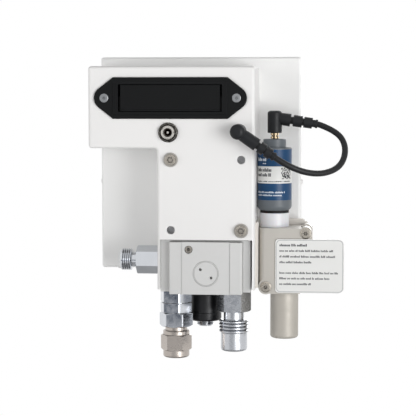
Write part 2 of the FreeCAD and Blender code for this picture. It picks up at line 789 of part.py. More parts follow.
def knob_cap():
    y1 = housing_front() + DIAL_T + KNOB_LIFT + KNOB_DEPTH
    disc = rod(KNOB_CAP_R, v(KNOB_X, y1 - KNOB_CAP_T, KNOB_Z), v(KNOB_X, y1 + KNOB_CAP_PROUD, KNOB_Z))
    relief = rod(KNOB_HEAD_R + 1.0, v(KNOB_X, y1 - KNOB_CAP_T - 1, KNOB_Z), v(KNOB_X, y1 - 0.6, KNOB_Z))
    return disc.cut(relief)


def spindle_end():
    return housing_front() + DIAL_T + KNOB_LIFT + KNOB_DEPTH - KNOB_CAP_T - SPINDLE_BACK


def valve_spindle():
    """The shaft from the knob to the proportioning cone, with two land rings and a tapered tip."""
    inner = WALL + SPINDLE_FLOOR
    length = spindle_end() - inner
    r = SPINDLE_R
    land = VALVE_BORE_R - SLIDE_GAP
    profile = [(0, 0), (0, 3.0), (7.0, r - 1), (9.0, r - 1), (9.0, land), (15.0, land), (15.0, r - 1)]
    profile += [(20.0, r - 1), (20.0, land), (26.0, land), (26.0, r), (length, r), (length, 0)]
    shaft = turned(profile, v(KNOB_X, inner, KNOB_Z), v(0, 1, 0))
    end = spindle_end()
    return shaft.cut(rod(KNOB_SCREW_R + THREAD_GAP, v(KNOB_X, end - 10, KNOB_Z), v(KNOB_X, end + 1, KNOB_Z)))


def knob_screw():
    y = spindle_end() + SPINDLE_BACK
    h, r = KNOB_HEAD_H, KNOB_HEAD_R
    top = v(KNOB_X, y + h, KNOB_Z)
    head = turned([(0, 0), (0, r - h / 2), (h / 2, r), (h, r), (h, 0)], top, v(0, -1, 0))
    head = head.cut(hexagon(KNOB_SOCKET, v(KNOB_X, y + 0.4 * h, KNOB_Z), top))
    return head.fuse(rod(KNOB_SCREW_R, v(KNOB_X, y - KNOB_SCREW_LENGTH, KNOB_Z), v(KNOB_X, y, KNOB_Z)))


def valve_bonnet():
    """The flanged bush on the valve body that carries the spindle through the rear wall of the case."""
    y0 = WALL + BODY_DEPTH
    y1 = COVER_DEPTH + HOUSING_WALL + CHASSIS_T + BONNET_PROUD
    centre = v(KNOB_X, y0, KNOB_Z)
    n, t = y1 - y0, BONNET_FLANGE_T
    profile = [(0, 0), (0, BONNET_FLANGE_R), (t, BONNET_FLANGE_R), (t, BONNET_R), (n, BONNET_R), (n, 0)]
    bush = turned(profile, centre, v(0, 1, 0))
    return bush.cut(rod(SPINDLE_R + SLIDE_GAP, v(KNOB_X, y0 - 1, KNOB_Z), v(KNOB_X, y1 + 1, KNOB_Z)))


def body_bottom():
    return PANEL_BOTTOM + 0.4


def valve_body():
    """The upper block that the mounting screws pull against the panel, bored for both valves."""
    w = BODY_HALF_WIDTH
    block = box(-w, w, WALL, WALL + BODY_DEPTH, body_bottom(), BODY_TOP)
    block = block.makeChamfer(1.0, edges_along(block, v(0, 1, 0), lambda p: True))
    half = PATTERN / 2
    for sx, sz in ((1, 1), (-1, -1)):
        x, z = sx * half, sz * half
        block = block.cut(rod(OPEN_HOLE_R, v(x, 0, z), v(x, OPEN_HOLE_DEPTH, z)))
    for sx, sz in ((-1, 1), (1, -1)):
        x, z = sx * half, sz * half
        block = block.cut(rod(MOUNT_SCREW_R + THREAD_GAP, v(x, 0, z), v(x, SCREW_LENGTH + 1, z)))
    inner = WALL + SPINDLE_FLOOR
    mouth = v(KNOB_X, WALL + BODY_DEPTH + 1, KNOB_Z)
    block = block.cut(rod(VALVE_BORE_R, v(KNOB_X, inner - 1, KNOB_Z), mouth))
    floor, top = v(BALANCE_X, BALANCE_Y, BALANCE_FLOOR), v(BALANCE_X, BALANCE_Y, BODY_TOP + 1)
    return block.cut(rod(BALANCE_R, floor, top))


def balance_middle():
    return (BALANCE_FLOOR + BODY_TOP - CAP_DEPTH) / 2


def balance_spool():
    """The pressure balancing spool: two lands and a waist."""
    low = balance_middle() - SPOOL_LENGTH / 2
    land = BALANCE_R - SLIDE_GAP
    n, w, waist = SPOOL_LENGTH, SPOOL_LAND, SPOOL_WAIST_R
    profile = [(0, 0), (0, land), (w, land), (w, waist), (n - w, waist), (n - w, land), (n, land), (n, 0)]
    return turned(profile, v(BALANCE_X, BALANCE_Y, low), v(0, 0, 1))


def helix_spring(radius, wire, length, turns, origin, axis):
    """A coil spring of round wire with a steady pitch."""
    pitch = (length - 2 * wire) / turns
    path = Part.makeHelix(pitch, pitch * turns, radius)
    section = Part.Wire(Part.makeCircle(wire, v(radius, 0, 0), v(0, 1, 0)))
    solid = Part.Wire(path.Edges).makePipeShell([section], True, True)
    solid.Placement = FreeCAD.Placement(origin.add(axis * wire), FreeCAD.Rotation(v(0, 0, 1), axis))
    return solid


def disc_springs(length, discs, origin, axis):
    """Coned disc springs stacked edge to edge, turned as one ring."""
    step = length / discs
    slope = []
    for i in range(discs + 1):
        slope.append((i * step, DISC_INNER if i % 2 == 0 else DISC_OUTER - DISC_WALL))
    profile = slope + [(z, r + DISC_WALL) for z, r in reversed(slope)]
    return turned(profile, origin, axis)


def balance_springs():
    """One stack of disc springs under the spool and one above it, each filling its end of the bore."""
    half = SPOOL_LENGTH / 2
    stretches = [
        (BALANCE_FLOOR, balance_middle() - half),
        (balance_middle() + half, BODY_TOP - CAP_DEPTH),
    ]
    springs = []
    for low, top in stretches:
        springs.append(disc_springs(top - low, DISCS, v(BALANCE_X, BALANCE_Y, low), v(0, 0, 1)))
    return Part.makeCompound(springs)


def balance_cap():
    """The screwed cap over the balance bore, with two spanner holes."""
    low = BODY_TOP - CAP_DEPTH
    r = BALANCE_R - THREAD_GAP
    d, n = CAP_DEPTH, CAP_DEPTH + CAP_PROUD
    profile = [(0, 0), (0, r), (d, r), (d, r + CAP_RIM), (n, r + CAP_RIM - 0.5), (n, 0)]
    cap = turned(profile, v(BALANCE_X, BALANCE_Y, low), v(0, 0, 1))
    top = BODY_TOP + CAP_PROUD
    for s in (-1, 1):
        x = BALANCE_X + s * CAP_PIN_OFFSET
        cap = cap.cut(rod(CAP_PIN_R, v(x, BALANCE_Y, top - 3), v(x, BALANCE_Y, top + 1)))
    return cap


def manifold_top():
    return body_bottom() - GASKET


def manifold_gasket():
    w = BODY_HALF_WIDTH
    return box(-w, w, MANIFOLD_FRONT, WALL + BODY_DEPTH, manifold_top(), body_bottom())


def fitting_places():
    """The axis point at the block's bottom and the stem radius of each of the three downward fittings."""
    z = MANIFOLD_BOTTOM
    return [
        (v(AIR_X, PORT_Y, z), AIR_STEM_R),
        (v(OXYGEN_X, PORT_Y, z), OXYGEN_STEM_R),
        (v(BLEED_X, BLEED_Y, z), BLEED_STEM_R),
    ]


def manifold_block():
    """The lower gas block: a stepped front with a raised boss, two pads, and ports for every fitting."""
    top = manifold_top()
    y1 = WALL + BODY_DEPTH
    block = box(MANIFOLD_LEFT, MANIFOLD_RIGHT, MANIFOLD_FRONT, y1, MANIFOLD_BOTTOM, top)
    boss = box(BOSS_LEFT, BOSS_RIGHT, BOSS_FRONT, MANIFOLD_FRONT + BOSS_BACK, BOSS_BOTTOM, top - 1.0)
    sides = edges_along(boss, v(0, 0, 1), lambda p: p.y < BOSS_FRONT + 1)
    boss = boss.makeFillet(1.2, sides)
    ends = [e for e in boss.Edges if e.BoundBox.YMax < BOSS_FRONT + 0.001 and e.Length > 20]
    ends = [e for e in ends if abs(e.Vertexes[0].Point.z - e.Vertexes[-1].Point.z) < 0.001]
    boss = boss.makeFillet(0.8, ends)
    recess = box(
        BOSS_LEFT + PAD_WIDTH,
        BOSS_RIGHT - PAD_WIDTH,
        BOSS_FRONT - 1,
        BOSS_FRONT + PAD_STEP,
        BOSS_BOTTOM - 1,
        top,
    )
    boss = boss.cut(recess)
    block = block.fuse(boss)
    face = BOSS_FRONT + PAD_STEP
    seat = v(PLUG_X, face + PLUG_DEPTH, PLUG_Z)
    block = block.cut(rod(PLUG_R + THREAD_GAP, v(PLUG_X, face - 1, PLUG_Z), seat))
    block = block.cut(rod(BORE_R, v(PLUG_X, face, PLUG_Z), v(PLUG_X, PORT_Y, PLUG_Z)))
    x, z = MANIFOLD_SCREW
    block = block.cut(rod(SMALL_HEAD_R + CLEAR_HOLE / 2, v(x, face - 1, z), v(x, face + SMALL_HEAD_H, z)))
    block = block.cut(rod(SMALL_SCREW_R + THREAD_GAP, v(x, face, z), v(x, face + SMALL_LENGTH + 1, z)))
    for start, radius in fitting_places():
        deep = start.add(v(0, 0, STEM_DEPTH))
        block = block.cut(rod(radius + THREAD_GAP, start.add(v(0, 0, -3)), deep))
    stem_start = v(MANIFOLD_LEFT, PORT_Y, OUTLET_Z)
    stem_end = stem_start.add(v(STEM_DEPTH, 0, 0))
    block = block.cut(rod(OUTLET_STEM_R + THREAD_GAP, stem_start.add(v(-1, 0, 0)), stem_end))
    gallery = rod(BORE_R, v(MANIFOLD_LEFT + STEM_DEPTH - 1, PORT_Y, OUTLET_Z), v(OXYGEN_X, PORT_Y, OUTLET_Z))
    block = block.cut(gallery)
    for y, z in bracket_screw_places():
        start = v(MANIFOLD_RIGHT - BRACKET_SCREW_IN, y, z)
        block = block.cut(rod(BRACKET_SCREW_R + THREAD_GAP, start, v(MANIFOLD_RIGHT + 1, y, z)))
    return block


def manifold_plug():
    """A flush screwed disc with two holes for a pin spanner."""
    face = BOSS_FRONT + PAD_STEP
    profile = [(0, 0), (0, PLUG_R - 0.5), (0.5, PLUG_R), (PLUG_DEPTH, PLUG_R), (PLUG_DEPTH, 0)]
    disc = turned(profile, v(PLUG_X, face - PLUG_PROUD, PLUG_Z), v(0, 1, 0))
    outer = PLUG_R - PLUG_RIM
    groove = ring(outer, outer - PLUG_GROOVE, v(PLUG_X, face - 1, PLUG_Z), v(PLUG_X, face, PLUG_Z))
    disc = disc.cut(groove)
    a = math.radians(PLUG_TURN)
    for s in (-1, 1):
        x = PLUG_X - s * PIN_HOLE_PITCH / 2 * math.cos(a)
        z = PLUG_Z + s * PIN_HOLE_PITCH / 2 * math.sin(a)
        disc = disc.cut(rod(PIN_HOLE_R, v(x, face - 1, z), v(x, face + 4, z)))
    return disc


def socket_screw(radius, head_r, head_h, length, seat, inward, socket=None):
    """A socket head screw whose head stands on the seat and whose shank runs inward from it."""
    out = seat.sub(inward * head_h)
    bevel = head_h * 0.15
    head = turned([(0, 0), (0, head_r - bevel), (bevel, head_r), (head_h, head_r), (head_h, 0)], out, inward)
    across = socket or head_r * 1.05
    head = head.cut(hexagon(across, out, out.add(inward * head_h * 0.6)))
    return head.fuse(rod(radius, seat, seat.add(inward * length)))


def manifold_screw():
    x, z = MANIFOLD_SCREW
    seat = v(x, BOSS_FRONT + PAD_STEP + SMALL_HEAD_H, z)
    reach = SMALL_LENGTH - SMALL_HEAD_H
    return socket_screw(SMALL_SCREW_R, SMALL_HEAD_R, SMALL_HEAD_H, reach, seat, v(0, 1, 0))


def mounting_screws():
    half = PATTERN / 2
    screws = []
    for sx, sz in ((-1, 1), (1, -1)):
        seat = v(sx * half, -WASHER_T, sz * half)
        reach = SCREW_LENGTH + WASHER_T
        screws.append(
            socket_screw(MOUNT_SCREW_R, MOUNT_HEAD_R, MOUNT_HEAD_H, reach, seat, v(0, 1, 0), MOUNT_SOCKET)
        )
    return Part.makeCompound(screws)


def mounting_washers():
    half = PATTERN / 2
    washers = []
    for sx, sz in ((-1, 1), (1, -1)):
        x, z = sx * half, sz * half
        washer = ring(WASHER_R, MOUNT_SCREW_R + CLEAR_HOLE / 2, v(x, -WASHER_T, z), v(x, 0, z))
        rim = [e for e in washer.Edges if e.BoundBox.YMax < -WASHER_T + 0.001 and e.Length > 30]
        washers.append(washer.makeChamfer(0.4, rim))
    return Part.makeCompound(washers)


def crests(start, end, outer, inner, count):
    """The (along, radius) points of a stretch of thread, as evenly spaced crests."""
    pitch = (end - start) / count
    points = [(start, inner)]
    for i in range(count):
        a = start + pitch * i
        points.append((a + 0.3 * pitch, outer))
        points.append((a + 0.6 * pitch, outer))
        points.append((a + 0.95 * pitch, inner))
    points.append((end, inner))
    return points


def side_outlet():
    """The outlet on the left cheek: a hexagonal body with a necked, threaded nose and a stepped bore."""
    wall = v(NECK_LEFT, PORT_Y, OUTLET_Z)
    out = v(-1, 0, 0)
    h, n = OUTLET_HEX, OUTLET_NOSE
    body = chamfered_hex(OUTLET_AC, wall, wall.add(out * h), OUTLET_TURN, 1.0, False)
    profile = [(h - 1, 0), (h - 1, OUTLET_NECK_R), (h + OUTLET_NECK, OUTLET_NECK_R)]
    profile += crests(h + OUTLET_NECK + 0.2, n - 0.8, OUTLET_THREAD_R, OUTLET_THREAD_R - 0.8, 5)
    profile += [(n, OUTLET_THREAD_R - 1.4), (n, 0)]
    body = body.fuse(turned(profile, wall, out))
    stem = rod(OUTLET_STEM_R, v(MANIFOLD_LEFT + STEM_DEPTH - 1, PORT_Y, OUTLET_Z), wall)
    body = body.fuse(stem)
    body = body.cut(rod(OUTLET_BORE_R, wall.add(out * OUTLET_SHELF), wall.add(out * (n + 1))))
    body = body.cut(rod(BORE_R - 0.8, v(MANIFOLD_LEFT + STEM_DEPTH, PORT_Y, OUTLET_Z), wall.add(out * n)))
    return body


def outlet_poppet():
    """The check valve in the outlet's mouth: a grooved head with a guide stem behind it."""
    base = v(NECK_LEFT - OUTLET_SHELF - POPPET_STEM, PORT_Y, OUTLET_Z)
    r = OUTLET_BORE_R - SLIDE_GAP
    g = POPPET_GUIDE_R
    profile = [(-POPPET_STEM + 5, 0), (-POPPET_STEM + 5, g), (0, g), (0, r), (1.6, r), (1.6, r - 0.8)]
    profile += [(2.8, r - 0.8), (2.8, r), (4.2, r), (5.0, r - 1.5), (5.0, 0)]
    return turned(profile, base, v(-1, 0, 0))


def outlet_spring():
    shelf = v(NECK_LEFT - OUTLET_SHELF, PORT_Y, OUTLET_Z)
    return helix_spring(SPRING_R, SPRING_WIRE, POPPET_STEM, SPRING_TURNS, shelf, v(-1, 0, 0))


def air_inlet_body():
    """A stemmed fitting with two hexagonal tiers and a threaded spigot below them."""
    top = v(AIR_X, PORT_Y, MANIFOLD_BOTTOM)
    down = v(0, 0, -1)
    tier = AIR_TIER
    upper = chamfered_hex(AIR_HEX_AC, top, top.add(down * tier), AIR_TURN, 1.0, False)
    mid = tier + AIR_GROOVE
    lower = chamfered_hex(AIR_HEX_AC, top.add(down * mid), top.add(down * AIR_BODY), AIR_TURN, 1.0)
    core, end = AIR_CORE_R, AIR_BODY + AIR_SPIGOT
    profile = [(-STEM_DEPTH, 0), (-STEM_DEPTH, AIR_STEM_R), (0, AIR_STEM_R), (0, core), (AIR_BODY - 2, core)]
    profile += [(AIR_BODY - 2, AIR_SPIGOT_R), (end, AIR_SPIGOT_R), (end, 0)]
    body = turned(profile, top, down).fuse(upper).fuse(lower)
    return body.cut(rod(BORE_R, top.add(down * -(STEM_DEPTH + 1)), top.add(down * (end + 1))))


def air_inlet_nut():
    """The larger union nut, threaded on the spigot, closing over the nipple's flange."""
    start = v(AIR_X, PORT_Y, MANIFOLD_BOTTOM - AIR_BODY - AIR_NUT_GAP)
    down = v(0, 0, -1)
    nut = chamfered_hex(AIR_NUT_AC, start, start.add(down * AIR_NUT_H), AIR_NUT_TURN, 1.6)
    floor = start.add(down * (AIR_NUT_H - AIR_NUT_FLOOR))
    nut = nut.cut(rod(AIR_SPIGOT_R + THREAD_GAP, start.add(down * -1), floor))
    return nut.cut(rod(AIR_SHANK_R + THREAD_GAP, start, start.add(down * (AIR_NUT_H + 1))))


def air_nut_bottom():
    return MANIFOLD_BOTTOM - AIR_BODY - AIR_NUT_GAP - AIR_NUT_H


def air_nipple():
    """The nipple under the union nut: flange, shank, collar and the head that holds the swivel nut."""
    z0 = MANIFOLD_BOTTOM - AIR_BODY - AIR_SPIGOT
    top = v(AIR_X, PORT_Y, z0)
    down = v(0, 0, -1)
    floor = z0 - (air_nut_bottom() + AIR_NUT_FLOOR)
    collar = z0 - (air_nut_bottom() - AIR_NECK)
    c1 = collar + COLLAR_H
    head = c1 + SWIVEL_SHELF + 0.6
    profile = [(0, 0), (0, AIR_SPIGOT_R - 0.3), (floor, AIR_SPIGOT_R - 0.3), (floor, AIR_SHANK_R)]
    profile += [(collar, AIR_SHANK_R), (collar, COLLAR_R - 0.6), (collar + 0.6, COLLAR_R), (c1, COLLAR_R)]
    profile += [(c1, SWIVEL_BORE_R - 0.07), (head, SWIVEL_BORE_R - 0.07), (head, NIPPLE_HEAD_R)]
    end = head + NIPPLE_HEAD_H
    profile += [(head + 2.5, NIPPLE_HEAD_R), (end, NIPPLE_HEAD_R - 3), (end, 0)]
    nipple = turned(profile, top, down)
    return nipple.cut(rod(BORE_R - 0.5, top.add(down * -1), top.add(down * (end + 1))))


def swivel_top():
    return air_nut_bottom() - AIR_NECK - COLLAR_H - SWIVEL_GAP


def air_swivel_nut():
    """The free-turning hose nut: a hexagon with a rounded skirt and a threaded mouth."""
    top = v(AIR_X, PORT_Y, swivel_top())
    down = v(0, 0, -1)
    nut = chamfered_hex(SWIVEL_AC, top, top.add(down * SWIVEL_HEX), 0.0, 1.8)
    n = SWIVEL_LENGTH
    r = SKIRT_R
    skirt = [(1, 0), (1, r), (n - 1.6, r), (n - 0.5, r - 0.6), (n, r - 1.6), (n, 0)]
    nut = nut.fuse(turned(skirt, top, down))
    nut = nut.cut(rod(SWIVEL_BORE_R, top.add(down * -1), top.add(down * 2 * SWIVEL_SHELF)))
    return nut.cut(rod(SWIVEL_MOUTH_R, top.add(down * SWIVEL_SHELF), top.add(down * (n + 1))))


def inlet_filters():
    """A sintered disc in the top of each inlet's stem."""
    discs = []
    for x in (AIR_X, OXYGEN_X):
        z = MANIFOLD_BOTTOM + STEM_DEPTH - FILTER_DEPTH
        discs.append(rod(BORE_R - 0.1, v(x, PORT_Y, z), v(x, PORT_Y, z + FILTER_T)))
    return Part.makeCompound(discs)


def oxygen_inlet():
    """The oxygen fitting: a hexagon, a neck, a coarse threaded band and a plain rounded nose with a bore."""
    top = v(OXYGEN_X, PORT_Y, MANIFOLD_BOTTOM)
    down = v(0, 0, -1)
    h = OXYGEN_HEX
    body = chamfered_hex(OXYGEN_AC, top, top.add(down * h), OXYGEN_TURN, 1.4, False)
    n = OXYGEN_LENGTH
    profile = [(-STEM_DEPTH, 0), (-STEM_DEPTH, OXYGEN_STEM_R), (1, OXYGEN_STEM_R), (h, OXYGEN_NECK_R)]
    profile += [(h + OXYGEN_NECK, OXYGEN_NECK_R)]
    t0 = h + OXYGEN_NECK
    profile += crests(t0, t0 + OXYGEN_THREAD, OXYGEN_THREAD_R, OXYGEN_THREAD_R - 1.3, 4)
    profile += [(t0 + OXYGEN_THREAD, OXYGEN_NOSE_R), (n - 2.0, OXYGEN_NOSE_R), (n - 0.6, OXYGEN_NOSE_R - 0.6)]
    profile += [(n, OXYGEN_NOSE_R - 2.0), (n, 0)]
    body = body.fuse(turned(profile, top, down))
    body = body.cut(rod(BORE_R, top.add(down * -(STEM_DEPTH + 1)), top.add(down * n)))
    return body.cut(rod(OXYGEN_BORE_R, top.add(down * (n - OXYGEN_BORE)), top.add(down * (n + 1))))


def bleed_outlet():
    """The bleed stem: a smooth land for the collar and a threaded tip with a bore."""
    top = v(BLEED_X, BLEED_Y, MANIFOLD_BOTTOM)
    down = v(0, 0, -1)
    r = BLEED_STEM_R
    tip = BLEED_THREAD_START
    ring_at = collar_seat()
    ring_end = ring_at + RETAINER_T
    profile = [(-STEM_DEPTH, 0), (-STEM_DEPTH, r), (ring_at, r), (ring_at, r - 0.7), (ring_end, r - 0.7)]
    profile += [(ring_end, r)]
    profile += crests(tip, BLEED_LENGTH - 0.6, r, r - 0.8, 5)
    profile += [(BLEED_LENGTH, r - 1.4), (BLEED_LENGTH, 0)]
    stem = turned(profile, top, down)
    return stem.cut(rod(BLEED_BORE_R, top.add(down * -(STEM_DEPTH + 1)), top.add(down * (BLEED_LENGTH + 1))))


def collar_seat():
    """How far below the block the retaining ring's upper face lies."""
    return COLLAR_GAP + COLLAR_LENGTH - COLLAR_RECESS


def bleed_collar():
    """The sliding bleed switch: a sleeve that flares into a finger flange."""
    top = v(BLEED_X, BLEED_Y, MANIFOLD_BOTTOM - COLLAR_GAP)
    down = v(0, 0, -1)
    n = COLLAR_LENGTH
    a, f = BLEED_SLEEVE_R, BLEED_FLANGE_R
    full = n - FLANGE_FULL
    profile = [(0, 0), (0, a - 0.6), (0.6, a), (n - FLANGE_START, a), (full - 0.6, f - 0.4)]
    profile += [(full, f), (n - 2.0, f), (n - 0.6, f - 0.7), (n, f - 2.2), (n, 0)]
    sleeve = turned(profile, top, down)
    sleeve = sleeve.cut(rod(BLEED_STEM_R + SLIDE_GAP, top.add(down * -1), top.add(down * (n + 1))))
    return sleeve.cut(rod(RETAINER_R + 0.6, top.add(down * (n - COLLAR_RECESS)), top.add(down * (n + 1))))


def bleed_retaining_ring():
    """The ring in the stem's groove that the collar rests on."""
    z = MANIFOLD_BOTTOM - collar_seat()
    start, end = v(BLEED_X, BLEED_Y, z - 0.02), v(BLEED_X, BLEED_Y, z - RETAINER_T + 0.02)
    return ring(RETAINER_R, BLEED_STEM_R - 0.65, start, end)


def bezel_screw_x():
    reach = BEZEL_LENGTH / 2 - BEZEL_END_R + 1.2
    return [BEZEL_X - reach, BEZEL_X + reach]


def bezel_outline(y):
    """The bezel's six-sided outline with rounded ends, as a wire at one depth."""
    r = BEZEL_END_R
    cx = BEZEL_LENGTH / 2 - r
    dx = BEZEL_FLAT / 2 - cx
    dz = BEZEL_HEIGHT / 2
    reach = math.hypot(dx, dz)
    a = math.atan2(dz, dx) - math.acos(r / reach)
    tx, tz = cx + r * math.cos(a), r * math.sin(a)
    flat = BEZEL_FLAT / 2

    def p(x, z):
        return v(BEZEL_X + x, y, BEZEL_Z + z)

    edges = [
        Part.LineSegment(p(-flat, dz), p(flat, dz)).toShape(),
        Part.LineSegment(p(flat, dz), p(tx, tz)).toShape(),
        Part.Arc(p(tx, tz), p(cx + r, 0), p(tx, -tz)).toShape(),
        Part.LineSegment(p(tx, -tz), p(flat, -dz)).toShape(),
        Part.LineSegment(p(flat, -dz), p(-flat, -dz)).toShape(),
        Part.LineSegment(p(-flat, -dz), p(-tx, -tz)).toShape(),
        Part.Arc(p(-tx, -tz), p(-cx - r, 0), p(-tx, tz)).toShape(),
        Part.LineSegment(p(-tx, tz), p(-flat, dz)).toShape(),
    ]
    return Part.Wire(edges)


def drawer_box_outer(y0, y1, gap=0.0):
    """The block of space that the battery box takes behind the panel."""
    wx = DRAWER_WIDTH / 2 + SLOT + BOX_WALL + gap
    wz = DRAWER_HEIGHT / 2 + DRAWER_GAP + BOX_WALL + gap
    return box(BEZEL_X - wx, BEZEL_X + wx, y0, y1, BEZEL_Z - wz, BEZEL_Z + wz)


def box_depth():
    return DRAWER_DEPTH + BOX_WALL + CONTACT_ROOM


def battery_bezel():
    """The black frame on the panel and, in one piece with it, the box that takes the drawer."""
    wing = Part.Face(bezel_outline(-BEZEL_WING_T)).extrude(v(0, BEZEL_WING_T, 0))
    rim = [e for e in wing.Edges if e.BoundBox.YMax < -BEZEL_WING_T + 0.001]
    wing = wing.makeChamfer(0.6, rim)
    fx, fz = BEZEL_FLAT / 2, DRAWER_HEIGHT / 2 + FRAME_RIM
    frame = box(BEZEL_X - fx, BEZEL_X + fx, -BEZEL_T, 0, BEZEL_Z - fz, BEZEL_Z + fz)
    rim = [e for e in frame.Edges if e.BoundBox.YMax < -BEZEL_T + 0.001]
    frame = frame.makeChamfer(0.5, rim)
    body = wing.fuse(frame).fuse(drawer_box_outer(-1, box_depth()))
    wx = DRAWER_WIDTH / 2 + SLOT
    wz = DRAWER_HEIGHT / 2 + DRAWER_GAP
    room = box(BEZEL_X - wx, BEZEL_X + wx, -BEZEL_T - 1, box_depth() - BOX_WALL, BEZEL_Z - wz, BEZEL_Z + wz)
    body = body.cut(room)
    for x in bezel_screw_x():
        body = body.cut(rod(BEZEL_SCREW_R + CLEAR_HOLE / 2, v(x, -BEZEL_T, BEZEL_Z), v(x, 1, BEZEL_Z)))
        cone = [(0, 0), (0, BEZEL_HEAD_R + 0.1), (1.4, BEZEL_SCREW_R + 0.2), (1.4, 0)]
        body = body.cut(turned(cone, v(x, -BEZEL_WING_T, BEZEL_Z), v(0, 1, 0)))
    return body


def bezel_screws():
    """Two countersunk screws with hexagon sockets, one in each end of the bezel."""
    screws = []
    for x in bezel_screw_x():
        out = v(x, -BEZEL_WING_T - 0.25, BEZEL_Z)
        profile = [(0, 0), (0, BEZEL_HEAD_R - 0.5), (0.25, BEZEL_HEAD_R), (1.6, BEZEL_SCREW_R), (1.6, 0)]
        head = turned(profile, out, v(0, 1, 0))
        head = head.cut(hexagon(BEZEL_SOCKET, out, out.add(v(0, 1.0, 0))))
        screws.append(head.fuse(rod(BEZEL_SCREW_R, out.add(v(0, 1.2, 0)), v(x, BEZEL_SCREW_LENGTH, BEZEL_Z))))
    return Part.makeCompound(screws)


def cell_x(i):
    return BEZEL_X + (i - (CELLS - 1) / 2) * CELL_PITCH


def cell_z():
    return BEZEL_Z - DRAWER_HEIGHT / 2 + TRAY_FLOOR + CELL_R + CELL_GAP


def battery_drawer():
    """The drawer: a door with a finger lip and a tray with one round trough for each cell."""
    wz = DRAWER_HEIGHT / 2
    door_y = -BEZEL_T + DOOR_INSET
    wx = DRAWER_WIDTH / 2
    door = box(BEZEL_X - wx, BEZEL_X + wx, door_y, door_y + DOOR_T, BEZEL_Z - wz, BEZEL_Z + wz)
    rim = [e for e in door.Edges if e.BoundBox.YMax < door_y + 0.001]
    door = door.makeChamfer(0.5, rim)
    half = LIP_GROOVE / 2
    low, high = BEZEL_Z - wz + LIP_GROOVE_LOW, BEZEL_Z - wz + LIP_GROOVE_HIGH
    door = door.cut(box(BEZEL_X - half, BEZEL_X + half, door_y - 1, door_y + LIP_GROOVE_DEPTH, low, high))
    tx = DRAWER_WIDTH / 2 + SLOT - DRAWER_GAP
    top = cell_z() + 3.0
    tray = box(BEZEL_X - tx, BEZEL_X + tx, door_y + DOOR_T, DRAWER_DEPTH, BEZEL_Z - wz, top)
    start = door_y + DOOR_T + 1.2
    for i in range(CELLS):
        x, z = cell_x(i), cell_z()
        r = CELL_R + CELL_GAP
        trough = rod(r, v(x, start, z), v(x, DRAWER_DEPTH + 1, z))
        tray = tray.cut(trough).cut(box(x - r, x + r, start, DRAWER_DEPTH + 1, z, top + 1))
    return door.fuse(tray)


def battery_cells():
    """The round cells in their troughs, each with its raised contact."""
    cells = []
    y0 = -BEZEL_T + DOOR_INSET + DOOR_T + 1.4
    for i in range(CELLS):
        n = CELL_LENGTH
        profile = [(0, 0), (0, CELL_R - 0.5), (0.4, CELL_R), (n - 1.6, CELL_R), (n - 1.0, CELL_R - 0.8)]
        profile += [(n - 1.0, 2.6), (n, 2.4), (n, 0)]
        cells.append(turned(profile, v(cell_x(i), y0, cell_z()), v(0, 1, 0)))
    return Part.makeCompound(cells)


def battery_contacts():
    """Sprung contact tabs on the box's end wall, one behind each cell."""
    tabs = []
    y1 = box_depth() - BOX_WALL
    for i in range(CELLS):
        x, z = cell_x(i), cell_z()
        wx, wz = TAB_WIDTH / 2, TAB_HEIGHT / 2
        dome = turned([(0, 0), (0, 3.0), (1.6, 1.2), (1.6, 0)], v(x, y1 - TAB_T, z), v(0, -1, 0))
        tabs.append(box(x - wx, x + wx, y1 - TAB_T, y1, z - wz, z + wz).fuse(dome))
    return Part.makeCompound(tabs)


def dc_jack():
    """The supply socket: a threaded bush with a stepped bore and a centre pin, and its rear body."""
    start = v(DC_X, -DC_PROUD, DC_Z)
    n = DC_PROUD
    r = DC_BUSH_R
    profile = [(0, 0), (0, r - 0.6), (0.6, r), (n + WALL, r), (n + WALL, r + 2.2), (n + WALL + 2, r + 2.2)]
    profile += [(n + WALL + 2, r), (n + WALL + 10, r), (n + WALL + 10, 0)]
    jack = turned(profile, start, v(0, 1, 0))
    mouth, b, deep = DC_MOUTH_R, DC_BORE_R, DC_BORE
    bore = turned([(-1, 0), (-1, mouth), (1.2, mouth), (2.4, b), (deep, b), (deep, 0)], start, v(0, 1, 0))
    pin = rod(DC_PIN_R, v(DC_X, -DC_PROUD + 1.5, DC_Z), v(DC_X, -DC_PROUD + deep + 0.5, DC_Z))
    return jack.cut(bore).fuse(pin)


def dc_jack_nut():
    """The hexagon nut and, in one piece with it, its flange washer."""
    r = DC_BUSH_R + THREAD_GAP
    seat = v(DC_X, 0, DC_Z)
    nut = chamfered_hex(DC_NUT_AC, v(DC_X, -DC_NUT_H, DC_Z), seat, DC_NUT_TURN, 1.4)
    nut = nut.fuse(rod(DC_NUT_AC / 2, v(DC_X, -DC_WASHER_T, DC_Z), seat))
    return nut.cut(rod(r, v(DC_X, -DC_NUT_H - 1, DC_Z), v(DC_X, 1, DC_Z)))


def sensor_socket():
    """The cable's socket: a bush with an outer flange and snap ribs behind the panel."""
    t, f, n = SOCKET_FLANGE_T, SOCKET_FLANGE_R, SOCKET_LENGTH
    start = v(SOCKET_X, -t, SOCKET_Z)
    profile = [(0, 0), (0, f - 0.4), (0.4, f), (t, f), (t, SOCKET_R), (t + WALL, SOCKET_R)]
    profile += [(t + WALL, SOCKET_SNAP_R), (t + 2 + WALL, SOCKET_R - 0.2), (n, SOCKET_R - 0.2), (n, 0)]
    socket = turned(profile, start, v(0, 1, 0))
    return socket.cut(rod(PIN_R + THREAD_GAP, v(SOCKET_X, -2, SOCKET_Z), v(SOCKET_X, n - 4, SOCKET_Z)))


def bracket_screw_places():
    """The (y, z) places of the two screws through the bracket, the cheek and the manifold block."""
    return [(BRACKET_SCREW_Y, z) for z in BRACKET_SCREW_Z]


